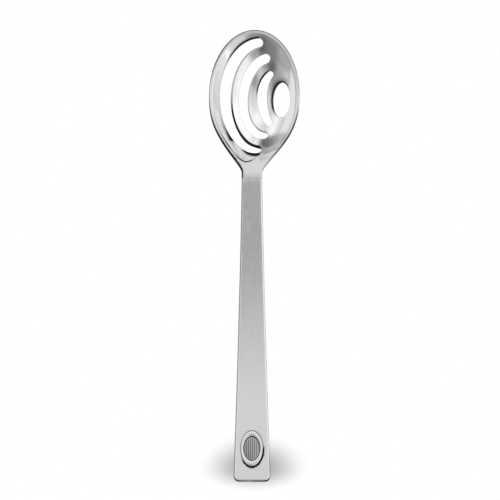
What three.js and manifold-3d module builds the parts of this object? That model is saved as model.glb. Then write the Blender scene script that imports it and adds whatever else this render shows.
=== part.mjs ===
// Slotted coffee spoon: a pressed bowl whose shank ends in a thin tongue, a flat tapered handle
// that laps over the tongue, and an oval medallion of a ring and a plaque set in the handle's end.
// Millimetres. +Y runs from the handle's end to the bowl's tip, and +Z is up, out of the bowl.
// The spoon lies on the bowl's bottom and on the flat underside of the handle's end, at z = 0.

import * as THREE from 'three';
import { mergeVertices } from 'three/addons/utils/BufferGeometryUtils.js';
import Module from 'manifold-3d';

const wasm = await Module();
wasm.setup();

// Bowl in plan. Its centre is where it is widest and deepest.
const bowlHalfWidth = 13.86;
const bowlTipReach = 20.6; // from the centre to the tip
const bowlNeckReach = 23.8; // from the centre to the start of the shank
const tipFullness = 2; // exponent of the oval tip, where 2 is a plain ellipse
const shoulderPower = 2.5; // how far the full width is held towards the neck
const flarePower = 1.365; // how softly the sides flare into the neck
const bowlLean = THREE.MathUtils.degToRad(0.57); // the bowl leans off the handle's line
const bowlSideStep = 0.47; // and stands this far to the right of it
const sideStepLength = 11.75; // length over which the flaring neck steps aside

// Bowl in section.
const bowlDepth = 7.5; // inside, below the rim
const sheetThickness = 1.1;
const rimLand = 1.1; // width of the flat ground rim
const rimEdge = 0.5; // height of the rim's outer edge
const hollowRoundness = 2.3; // exponent of the hollow's section, where 2 is a parabola
const heelReach = 21.8; // from the centre to the end of the pressed cup, underneath
const heelSquareness = 20; // how squarely the cup closes at the neck
const rimFallAtTip = 0.5;
const rimRiseAtNeck = 0.4;
const edgeGrowthPower = 3; // how late the rim's edge thickens towards the neck

// Crescent slots. The centre line is part of an ellipse about x, y from the bowl's centre, from one
// angle to another, and the whole slot is turned about that place. Angles are in degrees.
const slots = [
  { x: 2.07, y: 0.09, halfX: 10.65, halfY: 16.73, from: 94, to: 265, turn: 0.4, width: 3.76, endWidth: 2.54 },
  { x: 3.8, y: 0.45, halfX: 7.1, halfY: 11.98, from: 98, to: 267, turn: -2.5, width: 2.86, endWidth: 2.69 },
  { x: 8.58, y: -1.36, halfX: 5.99, halfY: 10.19, from: 109, to: 209, turn: 12, width: 2.98, endWidth: 2.1 },
];
const ovalHole = { x: 8.22, y: -0.58, halfX: 2.73, halfY: 5.5, turn: 2 };
const cutterOverrun = 1.5; // how far a slot cutter stands past each face of the sheet

// Neck, shank and the soldered lap.
const neckHalfWidth = 3.15;
const neckThickness = 2.3;
const shankLength = 2.2; // from the bowl's flare to the seam with the handle
const lapLength = 8;
const solderGap = 0.1; // between the tongue and the handle, all round the lap

// Handle.
const handleLength = 92.75;
const endHalfWidth = 5.65;
const endThickness = 1.8;
const endCornerRadius = 1.7;
const taperPower = 1.25; // the sides run nearly parallel from the neck, then widen
const flatLength = 24.5; // the part of the handle that lies flat
const neckBendLength = 5.5; // where the rising handle levels off into the shank

// Medallion.
const medallionFromEnd = 9.9; // from the handle's end to the medallion's centre
const bezelHalfWidth = 3.43;
const bezelHalfLength = 5.55;
const bezelInnerHalfWidth = 2.56;
const bezelInnerHalfLength = 3.83;
const bezelProud = 0.5; // how far the ring stands above the handle
const bezelCrown = 0.25; // how much of that is its rounded top
const plaqueCrown = 0.35; // how far the plaque's middle rises above its edge
const plaqueSunk = 0.25; // how far the plaque's edge lies below the ring's side walls
const recessDepth = 0.7;
const medallionClearance = 0.12; // all round the ring and all round the plaque

// How finely curves are divided.
const sideSteps = 22;
const hollowRings = 10;
const neckSteps = 3;
const slotSteps = 28;
const endArcSteps = 4;
const ovalSteps = 40;
const handleSteps = 26;
const cornerSteps = 6;
const crownSteps = 4;
const shankSteps = 2;
const lapSteps = 6;
const cornerMerge = 0.003; // corners of a cut solid closer than this become one
const probe = 0.05; // step over which a slope is measured
const halvings = 40; // how often the search for the cup's edge halves its interval

// Places that follow from the sizes. The handle's end is y = 0 until the spoon is centred.
const neckY = handleLength + shankLength;
const bowlY = neckY + bowlNeckReach;
const rimZ = bowlDepth + sheetThickness;
const neckTopZ = rimZ + rimRiseAtNeck;
const tongueEndY = handleLength - lapLength;

const steel = { color: 0xc9cacb, metalness: 1, roughness: 0.28 };
const brightSteel = { color: 0xd6d7d8, metalness: 1, roughness: 0.2 };
const darkSteel = { color: 0x8b8c8d, metalness: 1, roughness: 0.42 };

// A list of triangles, closed into a solid once its shared corners are merged.
class Skin {
  constructor() {
    this.positions = [];
  }

  // A triangle with two corners in one place is left out, where a row closes to a point.
  triangle(a, b, c) {
    const closest = Math.min(a.distanceTo(b), b.distanceTo(c), c.distanceTo(a));
    if (closest < 1e-5) return;
    for (const corner of [a, b, c]) this.positions.push(corner.x, corner.y, corner.z);
  }

  quad(a, b, c, d) {
    this.triangle(a, b, c);
    this.triangle(a, c, d);
  }

  // Joins two rows of points, one quad for each step along them.
  band(rowA, rowB) {
    for (let i = 0; i + 1 < rowA.length; i++) this.quad(rowA[i], rowA[i + 1], rowB[i + 1], rowB[i]);
  }

  geometry() {
    const geometry = new THREE.BufferGeometry();
    geometry.setAttribute('position', new THREE.Float32BufferAttribute(this.positions, 3));
    return geometry;
  }
}

function toSolid(geometry) {
  const bare = geometry.clone();
  bare.deleteAttribute('normal');
  bare.deleteAttribute('uv');
  const merged = mergeVertices(bare, 1e-4);
  const vertProperties = new Float32Array(merged.attributes.position.array);
  const triVerts = new Uint32Array(merged.index.array);
  return new wasm.Manifold(new wasm.Mesh({ numProp: 3, vertProperties, triVerts }));
}

// A cut leaves some corners almost in one place. Each moves to the first corner near it, and the
// triangles that this closes up, alone or face to face, are left out.
function toGeometry(solid) {
  const mesh = solid.getMesh();
  const corners = [];
  const moved = Array.from({ length: mesh.vertProperties.length / 3 }, (_, i) => {
    const corner = new THREE.Vector3().fromArray(mesh.vertProperties, 3 * i);
    const near = corners.findIndex((other) => other.distanceToSquared(corner) < cornerMerge ** 2);
    return near < 0 ? corners.push(corner) - 1 : near;
  });
  const triangles = new Map();
  for (let i = 0; i < mesh.triVerts.length; i += 3) {
    const triangle = [0, 1, 2].map((k) => moved[mesh.triVerts[i + k]]);
    const key = [...triangle].sort((p, q) => p - q).join();
    if (new Set(triangle).size < 3) continue;
    if (triangles.has(key)) triangles.delete(key);
    else triangles.set(key, triangle);
  }
  const geometry = new THREE.BufferGeometry().setFromPoints(corners);
  geometry.setIndex([...triangles.values()].flat());
  return geometry;
}

function namedMesh(name, geometry, finish) {
  geometry.computeVertexNormals();
  const mesh = new THREE.Mesh(geometry, new THREE.MeshStandardMaterial(finish));
  mesh.name = name;
  return mesh;
}

function steps(count) {
  return Array.from({ length: count + 1 }, (_, i) => i / count);
}

// Height of the top face of the handle and the shank: flat, then rising, then level at the neck.
function topZ(y) {
  const rampLength = neckY - neckBendLength - flatLength;
  const slope = (neckTopZ - endThickness) / ((rampLength + neckBendLength) / 2);
  const onRamp = THREE.MathUtils.clamp(y - flatLength, 0, rampLength);
  const onBend = THREE.MathUtils.clamp(y - flatLength - rampLength, 0, neckBendLength);
  const ramp = (slope * onRamp ** 2) / (2 * rampLength);
  const bend = slope * (onBend - onBend ** 2 / (2 * neckBendLength));
  return endThickness + ramp + bend;
}

// Thickness of the handle and the shank, even along the flat and growing towards the neck.
function barThickness(y) {
  const along = THREE.MathUtils.clamp((y - flatLength) / (neckY - flatLength), 0, 1);
  return THREE.MathUtils.lerp(endThickness, neckThickness, along);
}

// Half width of the handle, with the two rounded corners of its end.
function handleHalfWidth(y) {
  const fromSeam = Math.max(0, handleLength - y) / handleLength;
  const half = neckHalfWidth + (endHalfWidth - neckHalfWidth) * fromSeam ** taperPower;
  const intoCorner = Math.max(0, endCornerRadius - y);
  return half - endCornerRadius + Math.sqrt(endCornerRadius ** 2 - intoCorner ** 2);
}

// A bar along Y. Each section has y, its half width, and the heights of its two faces.
function addBar(skin, sections, across) {
  const row = (section, z) => across.map((side) => new THREE.Vector3(side * section.half, section.y, z));
  const tops = sections.map((section) => row(section, section.top));
  const bottoms = sections.map((section) => row(section, section.bottom));
  for (let i = 0; i + 1 < sections.length; i++) {
    skin.band(tops[i], tops[i + 1]);
    skin.band(bottoms[i + 1], bottoms[i]);
    skin.quad(bottoms[i][0], tops[i][0], tops[i + 1][0], bottoms[i + 1][0]);
    skin.quad(tops[i].at(-1), bottoms[i].at(-1), bottoms[i + 1].at(-1), tops[i + 1].at(-1));
  }
  return { tops, bottoms };
}

// Half width of the bowl's outline at a distance towards the tip, negative towards the neck.
function outlineHalfWidth(y) {
  if (y >= 0) {
    const rise = Math.min(1, y / bowlTipReach) ** tipFullness;
    return bowlHalfWidth * (1 - rise) ** (1 / tipFullness);
  }
  const fall = Math.min(1, -y / bowlNeckReach) ** shoulderPower;
  return neckHalfWidth + (bowlHalfWidth - neckHalfWidth) * (1 - fall) ** flarePower;
}

// Half width of the pressed cup: its outer face with no inset, and its hollow inset by the land.
function cupHalfWidth(y, inset) {
  if (y >= 0) {
    const rise = Math.min(1, y / (bowlTipReach - inset)) ** tipFullness;
    return (bowlHalfWidth - inset) * (1 - rise) ** (1 / tipFullness);
  }
  const slope = (outlineHalfWidth(y) - outlineHalfWidth(y - probe)) / probe;
  const fall = Math.min(1, -y / (heelReach - inset)) ** heelSquareness;
  return (outlineHalfWidth(y) - inset * Math.hypot(1, slope)) * Math.sqrt(1 - fall);
}

// Distance from the bowl's centre to the cup's edge in the direction of a point.
function cupReach(x, y, inset) {
  const length = Math.hypot(x, y) || 1;
  let near = 0;
  let far = bowlNeckReach + bowlHalfWidth;
  for (let i = 0; i < halvings; i++) {
    const middle = (near + far) / 2;
    const across = Math.abs((x / length) * middle);
    const along = (y / length) * middle;
    const beyond = along > bowlTipReach - inset || along < inset - heelReach;
    if (beyond || across > cupHalfWidth(along, inset)) far = middle;
    else near = middle;
  }
  return near;
}

function rimHeight(y) {
  if (y >= 0) return rimZ - rimFallAtTip * (y / bowlTipReach) ** 2;
  return rimZ + rimRiseAtNeck * (y / bowlNeckReach) ** 2;
}

function edgeHeight(y) {
  const towardsNeck = Math.max(0, -y / bowlNeckReach);
  return rimEdge + (neckThickness - rimEdge) * towardsNeck ** edgeGrowthPower;
}

// The two faces of the sheet. Both are the rim's height outside the cup and sink inside it.
function upperZ(x, y) {
  const share = Math.min(1, Math.hypot(x, y) / cupReach(x, y, rimLand));
  return rimHeight(y) - bowlDepth * (1 - share ** hollowRoundness);
}

function lowerZ(x, y) {
  const share = Math.min(1, Math.hypot(x, y) / cupReach(x, y, 0));
  const edge = edgeHeight(y);
  return rimHeight(y) - edge - (bowlDepth + sheetThickness - edge) * (1 - share ** hollowRoundness);
}

// The bowl's outline from the right of the neck round the tip to its left.
function bowlOutline() {
  const lower = steps(sideSteps).map((t) => {
    const y = -bowlNeckReach * Math.cos((t * Math.PI) / 2);
    return new THREE.Vector2(outlineHalfWidth(y), y);
  });
  const upper = steps(sideSteps).slice(1).map((t) => {
    const angle = (t * Math.PI) / 2;
    const x = bowlHalfWidth * Math.cos(angle) ** (2 / tipFullness);
    return new THREE.Vector2(Math.max(0, x), bowlTipReach * Math.sin(angle) ** (2 / tipFullness));
  });
  const right = [...lower, ...upper];
  const left = right.slice(0, -1).reverse().map((p) => new THREE.Vector2(-p.x, p.y));
  return [...right, ...left];
}

const acrossNeck = steps(neckSteps).map((t) => 2 * t - 1);

// The pressed cup with its rim, open only at the neck.
function addCup(skin) {
  const outline = bowlOutline();
  const neckPoint = (side) => new THREE.Vector2(side * neckHalfWidth, -bowlNeckReach);
  const neck = acrossNeck.slice(1, -1).map(neckPoint);
  const edge = [...outline, ...neck];
  const spoke = (point, heightAt) => {
    const reach = cupReach(point.x, point.y, rimLand);
    const outward = point.clone().normalize();
    const plan = steps(hollowRings).map((t) => outward.clone().multiplyScalar(t * reach));
    return [...plan, point].map((p) => new THREE.Vector3(p.x, p.y, heightAt(p.x, p.y)));
  };
  const tops = edge.map((point) => spoke(point, upperZ));
  const bottoms = edge.map((point) => spoke(point, lowerZ));
  edge.forEach((_, i) => {
    const next = (i + 1) % edge.length;
    skin.band(tops[i], tops[next]);
    skin.band(bottoms[next], bottoms[i]);
    if (i >= outline.length - 1) return;
    skin.quad(bottoms[i].at(-1), bottoms[next].at(-1), tops[next].at(-1), tops[i].at(-1));
  });
}

// The shank from the bowl's neck to the seam, then the tongue that runs under the handle.
function addShank(skin) {
  const underside = (y) => topZ(y) - barThickness(y);
  const section = (y, top) => ({ y: y - bowlY, half: neckHalfWidth, top, bottom: underside(y) });
  const lapTop = (y) => topZ(y) - (barThickness(y) + solderGap) / 2;
  const shankYs = steps(shankSteps).map((t) => neckY - t * shankLength);
  const tongueYs = steps(lapSteps).map((t) => handleLength - t * (lapLength - solderGap));
  const shank = shankYs.map((y) => section(y, topZ(y)));
  const tongue = tongueYs.map((y) => section(y, lapTop(y)));
  const { tops, bottoms } = addBar(skin, [...shank, ...tongue].reverse(), acrossNeck);
  skin.band(bottoms[0], tops[0]);
}

// A rung across a slot: its middle, the direction square to the slot, and its half length. It is
// drawn about the slot's own centre, then turned and moved with the slot.
function placeRung(slot, middle, out, half) {
  const turn = THREE.MathUtils.degToRad(slot.turn);
  const ownCentre = new THREE.Vector2();
  return {
    middle: middle.clone().rotateAround(ownCentre, turn).add(new THREE.Vector2(slot.x, slot.y)),
    out: out.clone().rotateAround(ownCentre, turn),
    half,
  };
}

// A crescent slot from one round end to the other, its width easing towards the ends.
function crescentRungs(slot) {
  const at = (t) => {
    const angle = THREE.MathUtils.degToRad(THREE.MathUtils.lerp(slot.from, slot.to, t));
    const out = new THREE.Vector2(slot.halfY * Math.cos(angle), slot.halfX * Math.sin(angle)).normalize();
    const middle = new THREE.Vector2(slot.halfX * Math.cos(angle), slot.halfY * Math.sin(angle));
    const half = THREE.MathUtils.lerp(slot.width, slot.endWidth, (2 * t - 1) ** 2) / 2;
    return { middle, out, half };
  };
  const roundEnd = (t, side) => {
    const { middle, out, half } = at(t);
    const onward = new THREE.Vector2(-out.y, out.x).multiplyScalar(side);
    return steps(endArcSteps).slice(0, -1).map((s) => ({
      middle: middle.clone().addScaledVector(onward, half * Math.cos((s * Math.PI) / 2)),
      out,
      half: half * Math.sin((s * Math.PI) / 2),
    }));
  };
  const rungs = [...roundEnd(0, -1), ...steps(slotSteps).map(at), ...roundEnd(1, 1).reverse()];
  return rungs.map(({ middle, out, half }) => placeRung(slot, middle, out, half));
}

function ovalRungs(oval) {
  const across = new THREE.Vector2(1, 0);
  return steps(ovalSteps / 2).map((t) => {
    const middle = new THREE.Vector2(0, -oval.halfY * Math.cos(Math.PI * t));
    return placeRung(oval, middle, across, oval.halfX * Math.sin(Math.PI * t));
  });
}

// The ends of a cutter's edge that stands square to the sheet at a point of the plan.
function cutterEdge({ x, y }) {
  const slopeX = (upperZ(x + probe, y) - upperZ(x - probe, y)) / (2 * probe);
  const slopeY = (upperZ(x, y + probe) - upperZ(x, y - probe)) / (2 * probe);
  const square = new THREE.Vector3(-slopeX, -slopeY, 1).normalize();
  const place = new THREE.Vector3(x, y, upperZ(x, y));
  return {
    top: place.clone().addScaledVector(square, cutterOverrun),
    bottom: place.clone().addScaledVector(square, -sheetThickness - cutterOverrun),
  };
}

// A cutter through the sheet, closed from rung to rung so that its ends follow the hollow.
function sheetCutter(rungs) {
  const rails = [1, -1].map((side) => rungs.map(({ middle, out, half }) => (
    cutterEdge(middle.clone().addScaledVector(out, side * half))
  )));
  const [outer, inner] = rails;
  const tops = (rail) => rail.map((edge) => edge.top);
  const bottoms = (rail) => rail.map((edge) => edge.bottom);
  const skin = new Skin();
  skin.band(bottoms(outer), tops(outer));
  skin.band(tops(inner), bottoms(inner));
  skin.band(tops(outer), tops(inner));
  skin.band(bottoms(inner), bottoms(outer));
  return toSolid(skin.geometry());
}

// Takes the bowl's middle line off the handle's, from nothing where the sides begin to flare.
function lean(geometry) {
  const position = geometry.attributes.position;
  for (let i = 0; i < position.count; i++) {
    const past = Math.max(0, position.getY(i) + bowlNeckReach);
    const aside = bowlSideStep * THREE.MathUtils.smoothstep(past, 0, sideStepLength);
    position.setX(i, position.getX(i) + aside + Math.tan(bowlLean) * past);
  }
  return geometry;
}

function makeBowl() {
  const skin = new Skin();
  addCup(skin);
  addShank(skin);
  let solid = toSolid(skin.geometry());
  for (const rungs of [...slots.map(crescentRungs), ovalRungs(ovalHole)]) {
    solid = solid.subtract(sheetCutter(rungs));
  }
  const bowl = namedMesh('bowl', lean(toGeometry(solid)), steel);
  bowl.position.y = bowlY;
  return bowl;
}

function ovalPrism(halfX, halfY, height) {
  const outline = steps(ovalSteps).slice(0, -1).map((t) => (
    new THREE.Vector2(halfX * Math.cos(2 * Math.PI * t), halfY * Math.sin(2 * Math.PI * t))
  ));
  const shape = new THREE.Shape(outline);
  return new THREE.ExtrudeGeometry(shape, { depth: height, bevelEnabled: false });
}

function makeHandle() {
  const corner = steps(cornerSteps).map((t) => endCornerRadius * (1 - Math.cos((t * Math.PI) / 2)));
  const run = (from, to, count) => steps(count).map((t) => THREE.MathUtils.lerp(from, to, t));
  const section = (y, bottom) => ({ y, half: handleHalfWidth(y), top: topZ(y), bottom });
  const full = [...corner, ...run(endCornerRadius, tongueEndY, handleSteps).slice(1)];
  const body = full.map((y) => section(y, topZ(y) - barThickness(y)));
  const nose = run(tongueEndY, handleLength - solderGap, lapSteps);
  const lap = nose.map((y) => section(y, topZ(y) - (barThickness(y) - solderGap) / 2));
  const skin = new Skin();
  const { tops, bottoms } = addBar(skin, [...body, ...lap], [-1, 1]);
  skin.band(bottoms[0], tops[0]);
  skin.band(tops.at(-1), bottoms.at(-1));
  const recessHalfWidth = bezelHalfWidth + medallionClearance;
  const recessHalfLength = bezelHalfLength + medallionClearance;
  const recess = ovalPrism(recessHalfWidth, recessHalfLength, 2 * recessDepth);
  recess.translate(0, medallionFromEnd, endThickness - recessDepth);
  return namedMesh('handle', toGeometry(toSolid(skin.geometry()).subtract(toSolid(recess))), steel);
}

// The raised ring: upright walls and a rounded top, swept round the oval.
function makeBezel() {
  const wall = recessDepth + bezelProud - bezelCrown;
  const crown = steps(crownSteps).map((t) => ({ share: t, z: wall + bezelCrown * Math.sin(Math.PI * t) }));
  const profile = [{ share: 1, z: 0 }, { share: 0, z: 0 }, ...crown, { share: 1, z: 0 }];
  const place = (angle, { share, z }) => new THREE.Vector3(
    THREE.MathUtils.lerp(bezelInnerHalfWidth, bezelHalfWidth, share) * Math.cos(angle),
    THREE.MathUtils.lerp(bezelInnerHalfLength, bezelHalfLength, share) * Math.sin(angle),
    z,
  );
  const rows = steps(ovalSteps).map((t) => profile.map((corner) => place(2 * Math.PI * (t % 1), corner)));
  const skin = new Skin();
  for (let i = 0; i < ovalSteps; i++) skin.band(rows[i], rows[i + 1]);
  return namedMesh('medallion_bezel', toGeometry(toSolid(skin.geometry())), brightSteel);
}

// The plaque: a low dome with an upright edge, turned round and drawn out to the oval.
function makePlaque() {
  const edgeZ = recessDepth + bezelProud - bezelCrown - plaqueSunk;
  const domeAt = (t) => new THREE.Vector2(1 - t, edgeZ + plaqueCrown * (1 - (1 - t) ** 2));
  const dome = steps(crownSteps).map(domeAt);
  const profile = [new THREE.Vector2(0, 0), new THREE.Vector2(1, 0), ...dome];
  const turned = new THREE.LatheGeometry(profile, ovalSteps);
  turned.rotateX(Math.PI / 2);
  turned.scale(bezelInnerHalfWidth - medallionClearance, bezelInnerHalfLength - medallionClearance, 1);
  return namedMesh('medallion_plaque', turned, darkSteel);
}

const medallion = new THREE.Group();
medallion.add(makeBezel(), makePlaque());
medallion.position.set(0, medallionFromEnd, endThickness - recessDepth);

const spoon = new THREE.Group();
spoon.add(makeBowl(), makeHandle(), medallion);

// The origin lies on the table, under the middle of the whole spoon.
spoon.updateMatrixWorld(true);
const box = new THREE.Box3().setFromObject(spoon, true);
const middle = box.getCenter(new THREE.Vector3());
spoon.position.set(-middle.x, -middle.y, -box.min.z);

export default spoon;
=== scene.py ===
"""A slotted coffee spoon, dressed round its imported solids.

The bowl, the handle and the two pieces of the medallion are made again as smooth pieces with
eased edges. Most of their sizes are those of the solids. The heel of the bowl's hollow, the seam,
the ring's outside and section and the medallion's place differ a little. Sizes are in millimetres
until a piece is made.
"""

import logging
import math
from dataclasses import dataclass
from enum import Enum
from typing import Callable

import bmesh
import bpy
import numpy as np
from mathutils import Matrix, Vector
from mathutils.geometry import delaunay_2d_cdt


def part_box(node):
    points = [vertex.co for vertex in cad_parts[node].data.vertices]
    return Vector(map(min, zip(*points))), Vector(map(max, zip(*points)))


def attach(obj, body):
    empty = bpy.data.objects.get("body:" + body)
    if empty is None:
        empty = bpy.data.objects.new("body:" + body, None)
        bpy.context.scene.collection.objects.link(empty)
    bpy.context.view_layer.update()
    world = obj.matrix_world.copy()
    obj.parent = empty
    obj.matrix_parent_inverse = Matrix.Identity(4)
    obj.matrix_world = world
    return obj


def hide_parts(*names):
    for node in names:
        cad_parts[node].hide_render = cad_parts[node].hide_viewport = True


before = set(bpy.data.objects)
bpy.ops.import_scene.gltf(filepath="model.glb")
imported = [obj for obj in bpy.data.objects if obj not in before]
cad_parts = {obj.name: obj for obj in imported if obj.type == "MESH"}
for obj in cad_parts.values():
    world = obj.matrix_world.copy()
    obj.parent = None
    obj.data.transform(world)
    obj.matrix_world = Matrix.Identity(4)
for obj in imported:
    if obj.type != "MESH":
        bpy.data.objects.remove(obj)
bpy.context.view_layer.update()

log = logging.getLogger("spoon")
MM = 0.001
Points = np.ndarray
Heights = Callable[[Points, Points], Points]
Stops = tuple[tuple[float, float], ...]
Socket = bpy.types.NodeSocket
Tree = bpy.types.NodeTree

INSIDE_ONLY = 1  # what the triangulation gives back: only what lies inside the borders
SAME_PLACE = 1e-6
SLIVER_SHARE = 0.2
AT_ONCE = 500  # points compared at once, to spare memory
FADE_RATE, FADE_START = 1.6, 0.6
SLOPE_STEP = 0.05
LEAST_LENGTH = 1e-9
LEAST_GAP = 0.001
GRAIN_DETAIL, GRAIN_ROUGHNESS = 4.0, 0.62
# Fineness, detail and gain of the noise that breaks up the painted shade.
PAINTED_SHADE_SCALE, PAINTED_SHADE_DETAIL, PAINTED_SHADE_GAIN = 900.0, 3.0, 1.4


class Slot(Enum):
    """Material slots of the record."""

    BOWL = "polished_steel"
    HANDLE = "satin_steel"
    RING = "bright_ring"
    PLAQUE = "dark_plaque"


def smooth_step(share: Points) -> Points:
    """Ease a share from 0 to 1, level at both ends."""
    share = np.clip(share, 0.0, 1.0)
    return share * share * (3.0 - 2.0 * share)


@dataclass(frozen=True)
class Fade:
    """A share that grows from 0 to its full value over a length. A length below 0 runs backwards."""

    start: float
    length: float
    full: float = 1.0

    def at(self, place: Points) -> Points:
        """Give the share at each place."""
        return self.full * smooth_step((place - self.start) / self.length)


@dataclass(frozen=True)
class Oval:
    """An upright ellipse in plan."""

    x: float
    y: float
    half_x: float
    half_y: float

    def away(self, x: Points, y: Points) -> Points:
        """Distance of each point from the middle, 1 on the ellipse."""
        return np.hypot((x - self.x) / self.half_x, (y - self.y) / self.half_y)


def outward_normals(loop: Points, closed: bool) -> Points:
    """Give the unit normals of a line in plan, to the right of its direction.

    Args:
        loop: Points of the line, one row each.
        closed: Whether the last point joins the first.

    Returns:
        One unit normal for each point.
    """
    if closed:
        along = np.roll(loop, -1, axis=0) - np.roll(loop, 1, axis=0)
    else:
        along = np.gradient(loop, axis=0)
    along /= np.linalg.norm(along, axis=1, keepdims=True)
    return np.stack([along[:, 1], -along[:, 0]], axis=1)


def within(points: Points, loop: Points) -> Points:
    """Tell which points lie inside a closed line in plan.

    Args:
        points: Rows of x, y.
        loop: The line's points, in order.

    Returns:
        True for each point inside.
    """
    inside = np.zeros(len(points), dtype=bool)
    x, y = points.T
    for (x0, y0), (x1, y1) in zip(loop, np.roll(loop, -1, axis=0)):
        if y0 == y1:
            continue
        crosses = (y0 > y) != (y1 > y)
        inside ^= crosses & (x < x0 + (y - y0) * (x1 - x0) / (y1 - y0))
    return inside


def strongest_marks(points: Points, marks: Points, merge: float = 0.002) -> Points:
    """Give points that share a place the strongest of their marks.

    Args:
        points: Rows of x, y, z in millimetres.
        marks: One mark for each point.
        merge: Distance in millimetres under which points share a place.

    Returns:
        The marks, equal where points share a place.
    """
    places = np.round(points / merge).astype(int)
    _, same = np.unique(places, axis=0, return_inverse=True)
    same = same.ravel()
    strongest = np.zeros(same.max() + 1)
    np.maximum.at(strongest, same, marks)
    return strongest[same]


class Patchwork:
    """Faces gathered patch by patch, then merged into one closed mesh."""

    def __init__(self) -> None:
        """Start with no patches."""
        self.points: list[Points] = []
        self.marks: list[Points] = []
        self.faces: list[tuple[int, ...]] = []
        self.count = 0

    def add_points(self, points: Points, mark: float = 0.0) -> int:
        """Add points with one mark and return the index of the first.

        Args:
            points: Rows of x, y, z in millimetres.
            mark: 1 on a cut or eased edge, 0 on an open face.

        Returns:
            Index of the first added point.
        """
        first = self.count
        self.points.append(np.asarray(points, dtype=float))
        self.marks.append(np.full(len(points), mark))
        self.count += len(points)
        return first

    def add_band(self, rows: list[Points], closed: bool, marks: list[float] | None = None) -> None:
        """Join rows of equally many points with quads.

        Args:
            rows: The rows, each an array of x, y, z.
            closed: Whether each row closes on itself.
            marks: One mark for each row, or none for plain faces.
        """
        marks = marks or [0.0] * len(rows)
        starts = [self.add_points(row, mark) for row, mark in zip(rows, marks)]
        size = len(rows[0])
        for low, high in zip(starts, starts[1:]):
            for i in range(size if closed else size - 1):
                j = (i + 1) % size
                self.faces.append((low + i, low + j, high + j, high + i))

    def add_sheet(self, borders: list[Points], extra: Points, height: Heights, up: bool) -> None:
        """Fill a plan area with triangles and lift it to a height.

        Args:
            borders: Closed borders in plan, the outer one and those of the holes.
            extra: Points in plan to use inside the area.
            height: Gives z for arrays of x and y.
            up: Whether the faces look up.
        """
        plan = np.concatenate([*borders, extra])
        edges = []
        first = 0
        for border in borders:
            size = len(border)
            edges += [(first + i, first + (i + 1) % size) for i in range(size)]
            first += size
        made = delaunay_2d_cdt([Vector(p) for p in plan], edges, [], INSIDE_ONLY, SAME_PLACE)
        flat = np.array([tuple(p) for p in made[0]])
        for i, sources in enumerate(made[3]):
            if sources:
                flat[i] = plan[sources[0]]
        start = self.add_points(np.column_stack([flat, height(flat[:, 0], flat[:, 1])]))
        faces = np.array(made[2])
        middles = flat[faces].mean(axis=1)
        open_places = np.zeros(len(faces), dtype=bool)
        for border in borders[1:]:
            open_places |= within(middles, border)
        for face in faces[~open_places].tolist():
            corners = face if up else face[::-1]
            self.faces.append(tuple(start + corner for corner in corners))

    def add_face(self, points: Points) -> None:
        """Close a flat opening with one face."""
        start = self.add_points(points)
        self.faces.append(tuple(range(start, start + len(points))))

    def finish(self, name: str, place: Callable[[Points], Points], merge: float = 0.002,
               shade: Callable[[Points, Points], Points] | None = None) -> bpy.types.Object:
        """Merge the patches and make the object, in metres.

        Args:
            name: Name of the piece.
            place: Moves points from the maker's frame to the object's, in millimetres.
            merge: Distance in millimetres under which points become one.
            shade: Turns the marks into shares of painted shade, from the points and the marks.

        Returns:
            The new object, at the origin, with the attribute "worked", which holds the painted shade.
        """
        marks = np.concatenate(self.marks)
        if shade:
            marks = shade(np.concatenate(self.points), marks)
        points = place(np.concatenate(self.points)) * MM
        mesh = bmesh.new()
        layer = mesh.verts.layers.float.new("worked")
        corners = []
        for point, mark in zip(points, marks):
            corner = mesh.verts.new(point)
            corner[layer] = mark
            corners.append(corner)
        for face in self.faces:
            mesh.faces.new([corners[i] for i in face])
        loose = [corner for corner in mesh.verts if not corner.link_faces]
        bmesh.ops.delete(mesh, geom=loose, context="VERTS")
        bmesh.ops.remove_doubles(mesh, verts=mesh.verts, dist=merge * MM)
        bmesh.ops.dissolve_degenerate(mesh, edges=mesh.edges, dist=merge * MM * SLIVER_SHARE)
        bmesh.ops.recalc_face_normals(mesh, faces=mesh.faces)
        return finish_mesh(mesh, name)


def finish_mesh(mesh: bmesh.types.BMesh, name: str, sharp: float = 35.0) -> bpy.types.Object:
    """Turn a bmesh into an object with smooth faces and sharp creases.

    Args:
        mesh: The finished faces.
        name: Name of the piece.
        sharp: Angle in degrees over which an edge stays sharp.

    Returns:
        The new object, linked to the scene.
    """
    open_edges = sum(not edge.is_manifold for edge in mesh.edges)
    for face in mesh.faces:
        face.smooth = True
    for edge in mesh.edges:
        edge.smooth = not (edge.is_manifold and edge.calc_face_angle() > math.radians(sharp))
    data = bpy.data.meshes.new(name)
    mesh.to_mesh(data)
    mesh.free()
    piece = bpy.data.objects.new(name, data)
    bpy.context.scene.collection.objects.link(piece)
    log.info("%s: %d faces, %d open edges", name, len(data.polygons), open_edges)
    return piece


def clear_of(points: Points, others: Points, distance: float) -> Points:
    """Keep the points that lie further than a distance from all others.

    Args:
        points: The points to choose from.
        others: The points to keep away from.
        distance: The least distance.

    Returns:
        The points that are kept.
    """
    kept = []
    for part in np.array_split(points, max(1, len(points) // AT_ONCE)):
        gap = np.linalg.norm(part[:, None] - others[None], axis=2).min(axis=1)
        kept.append(part[gap > distance])
    return np.concatenate(kept)


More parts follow.
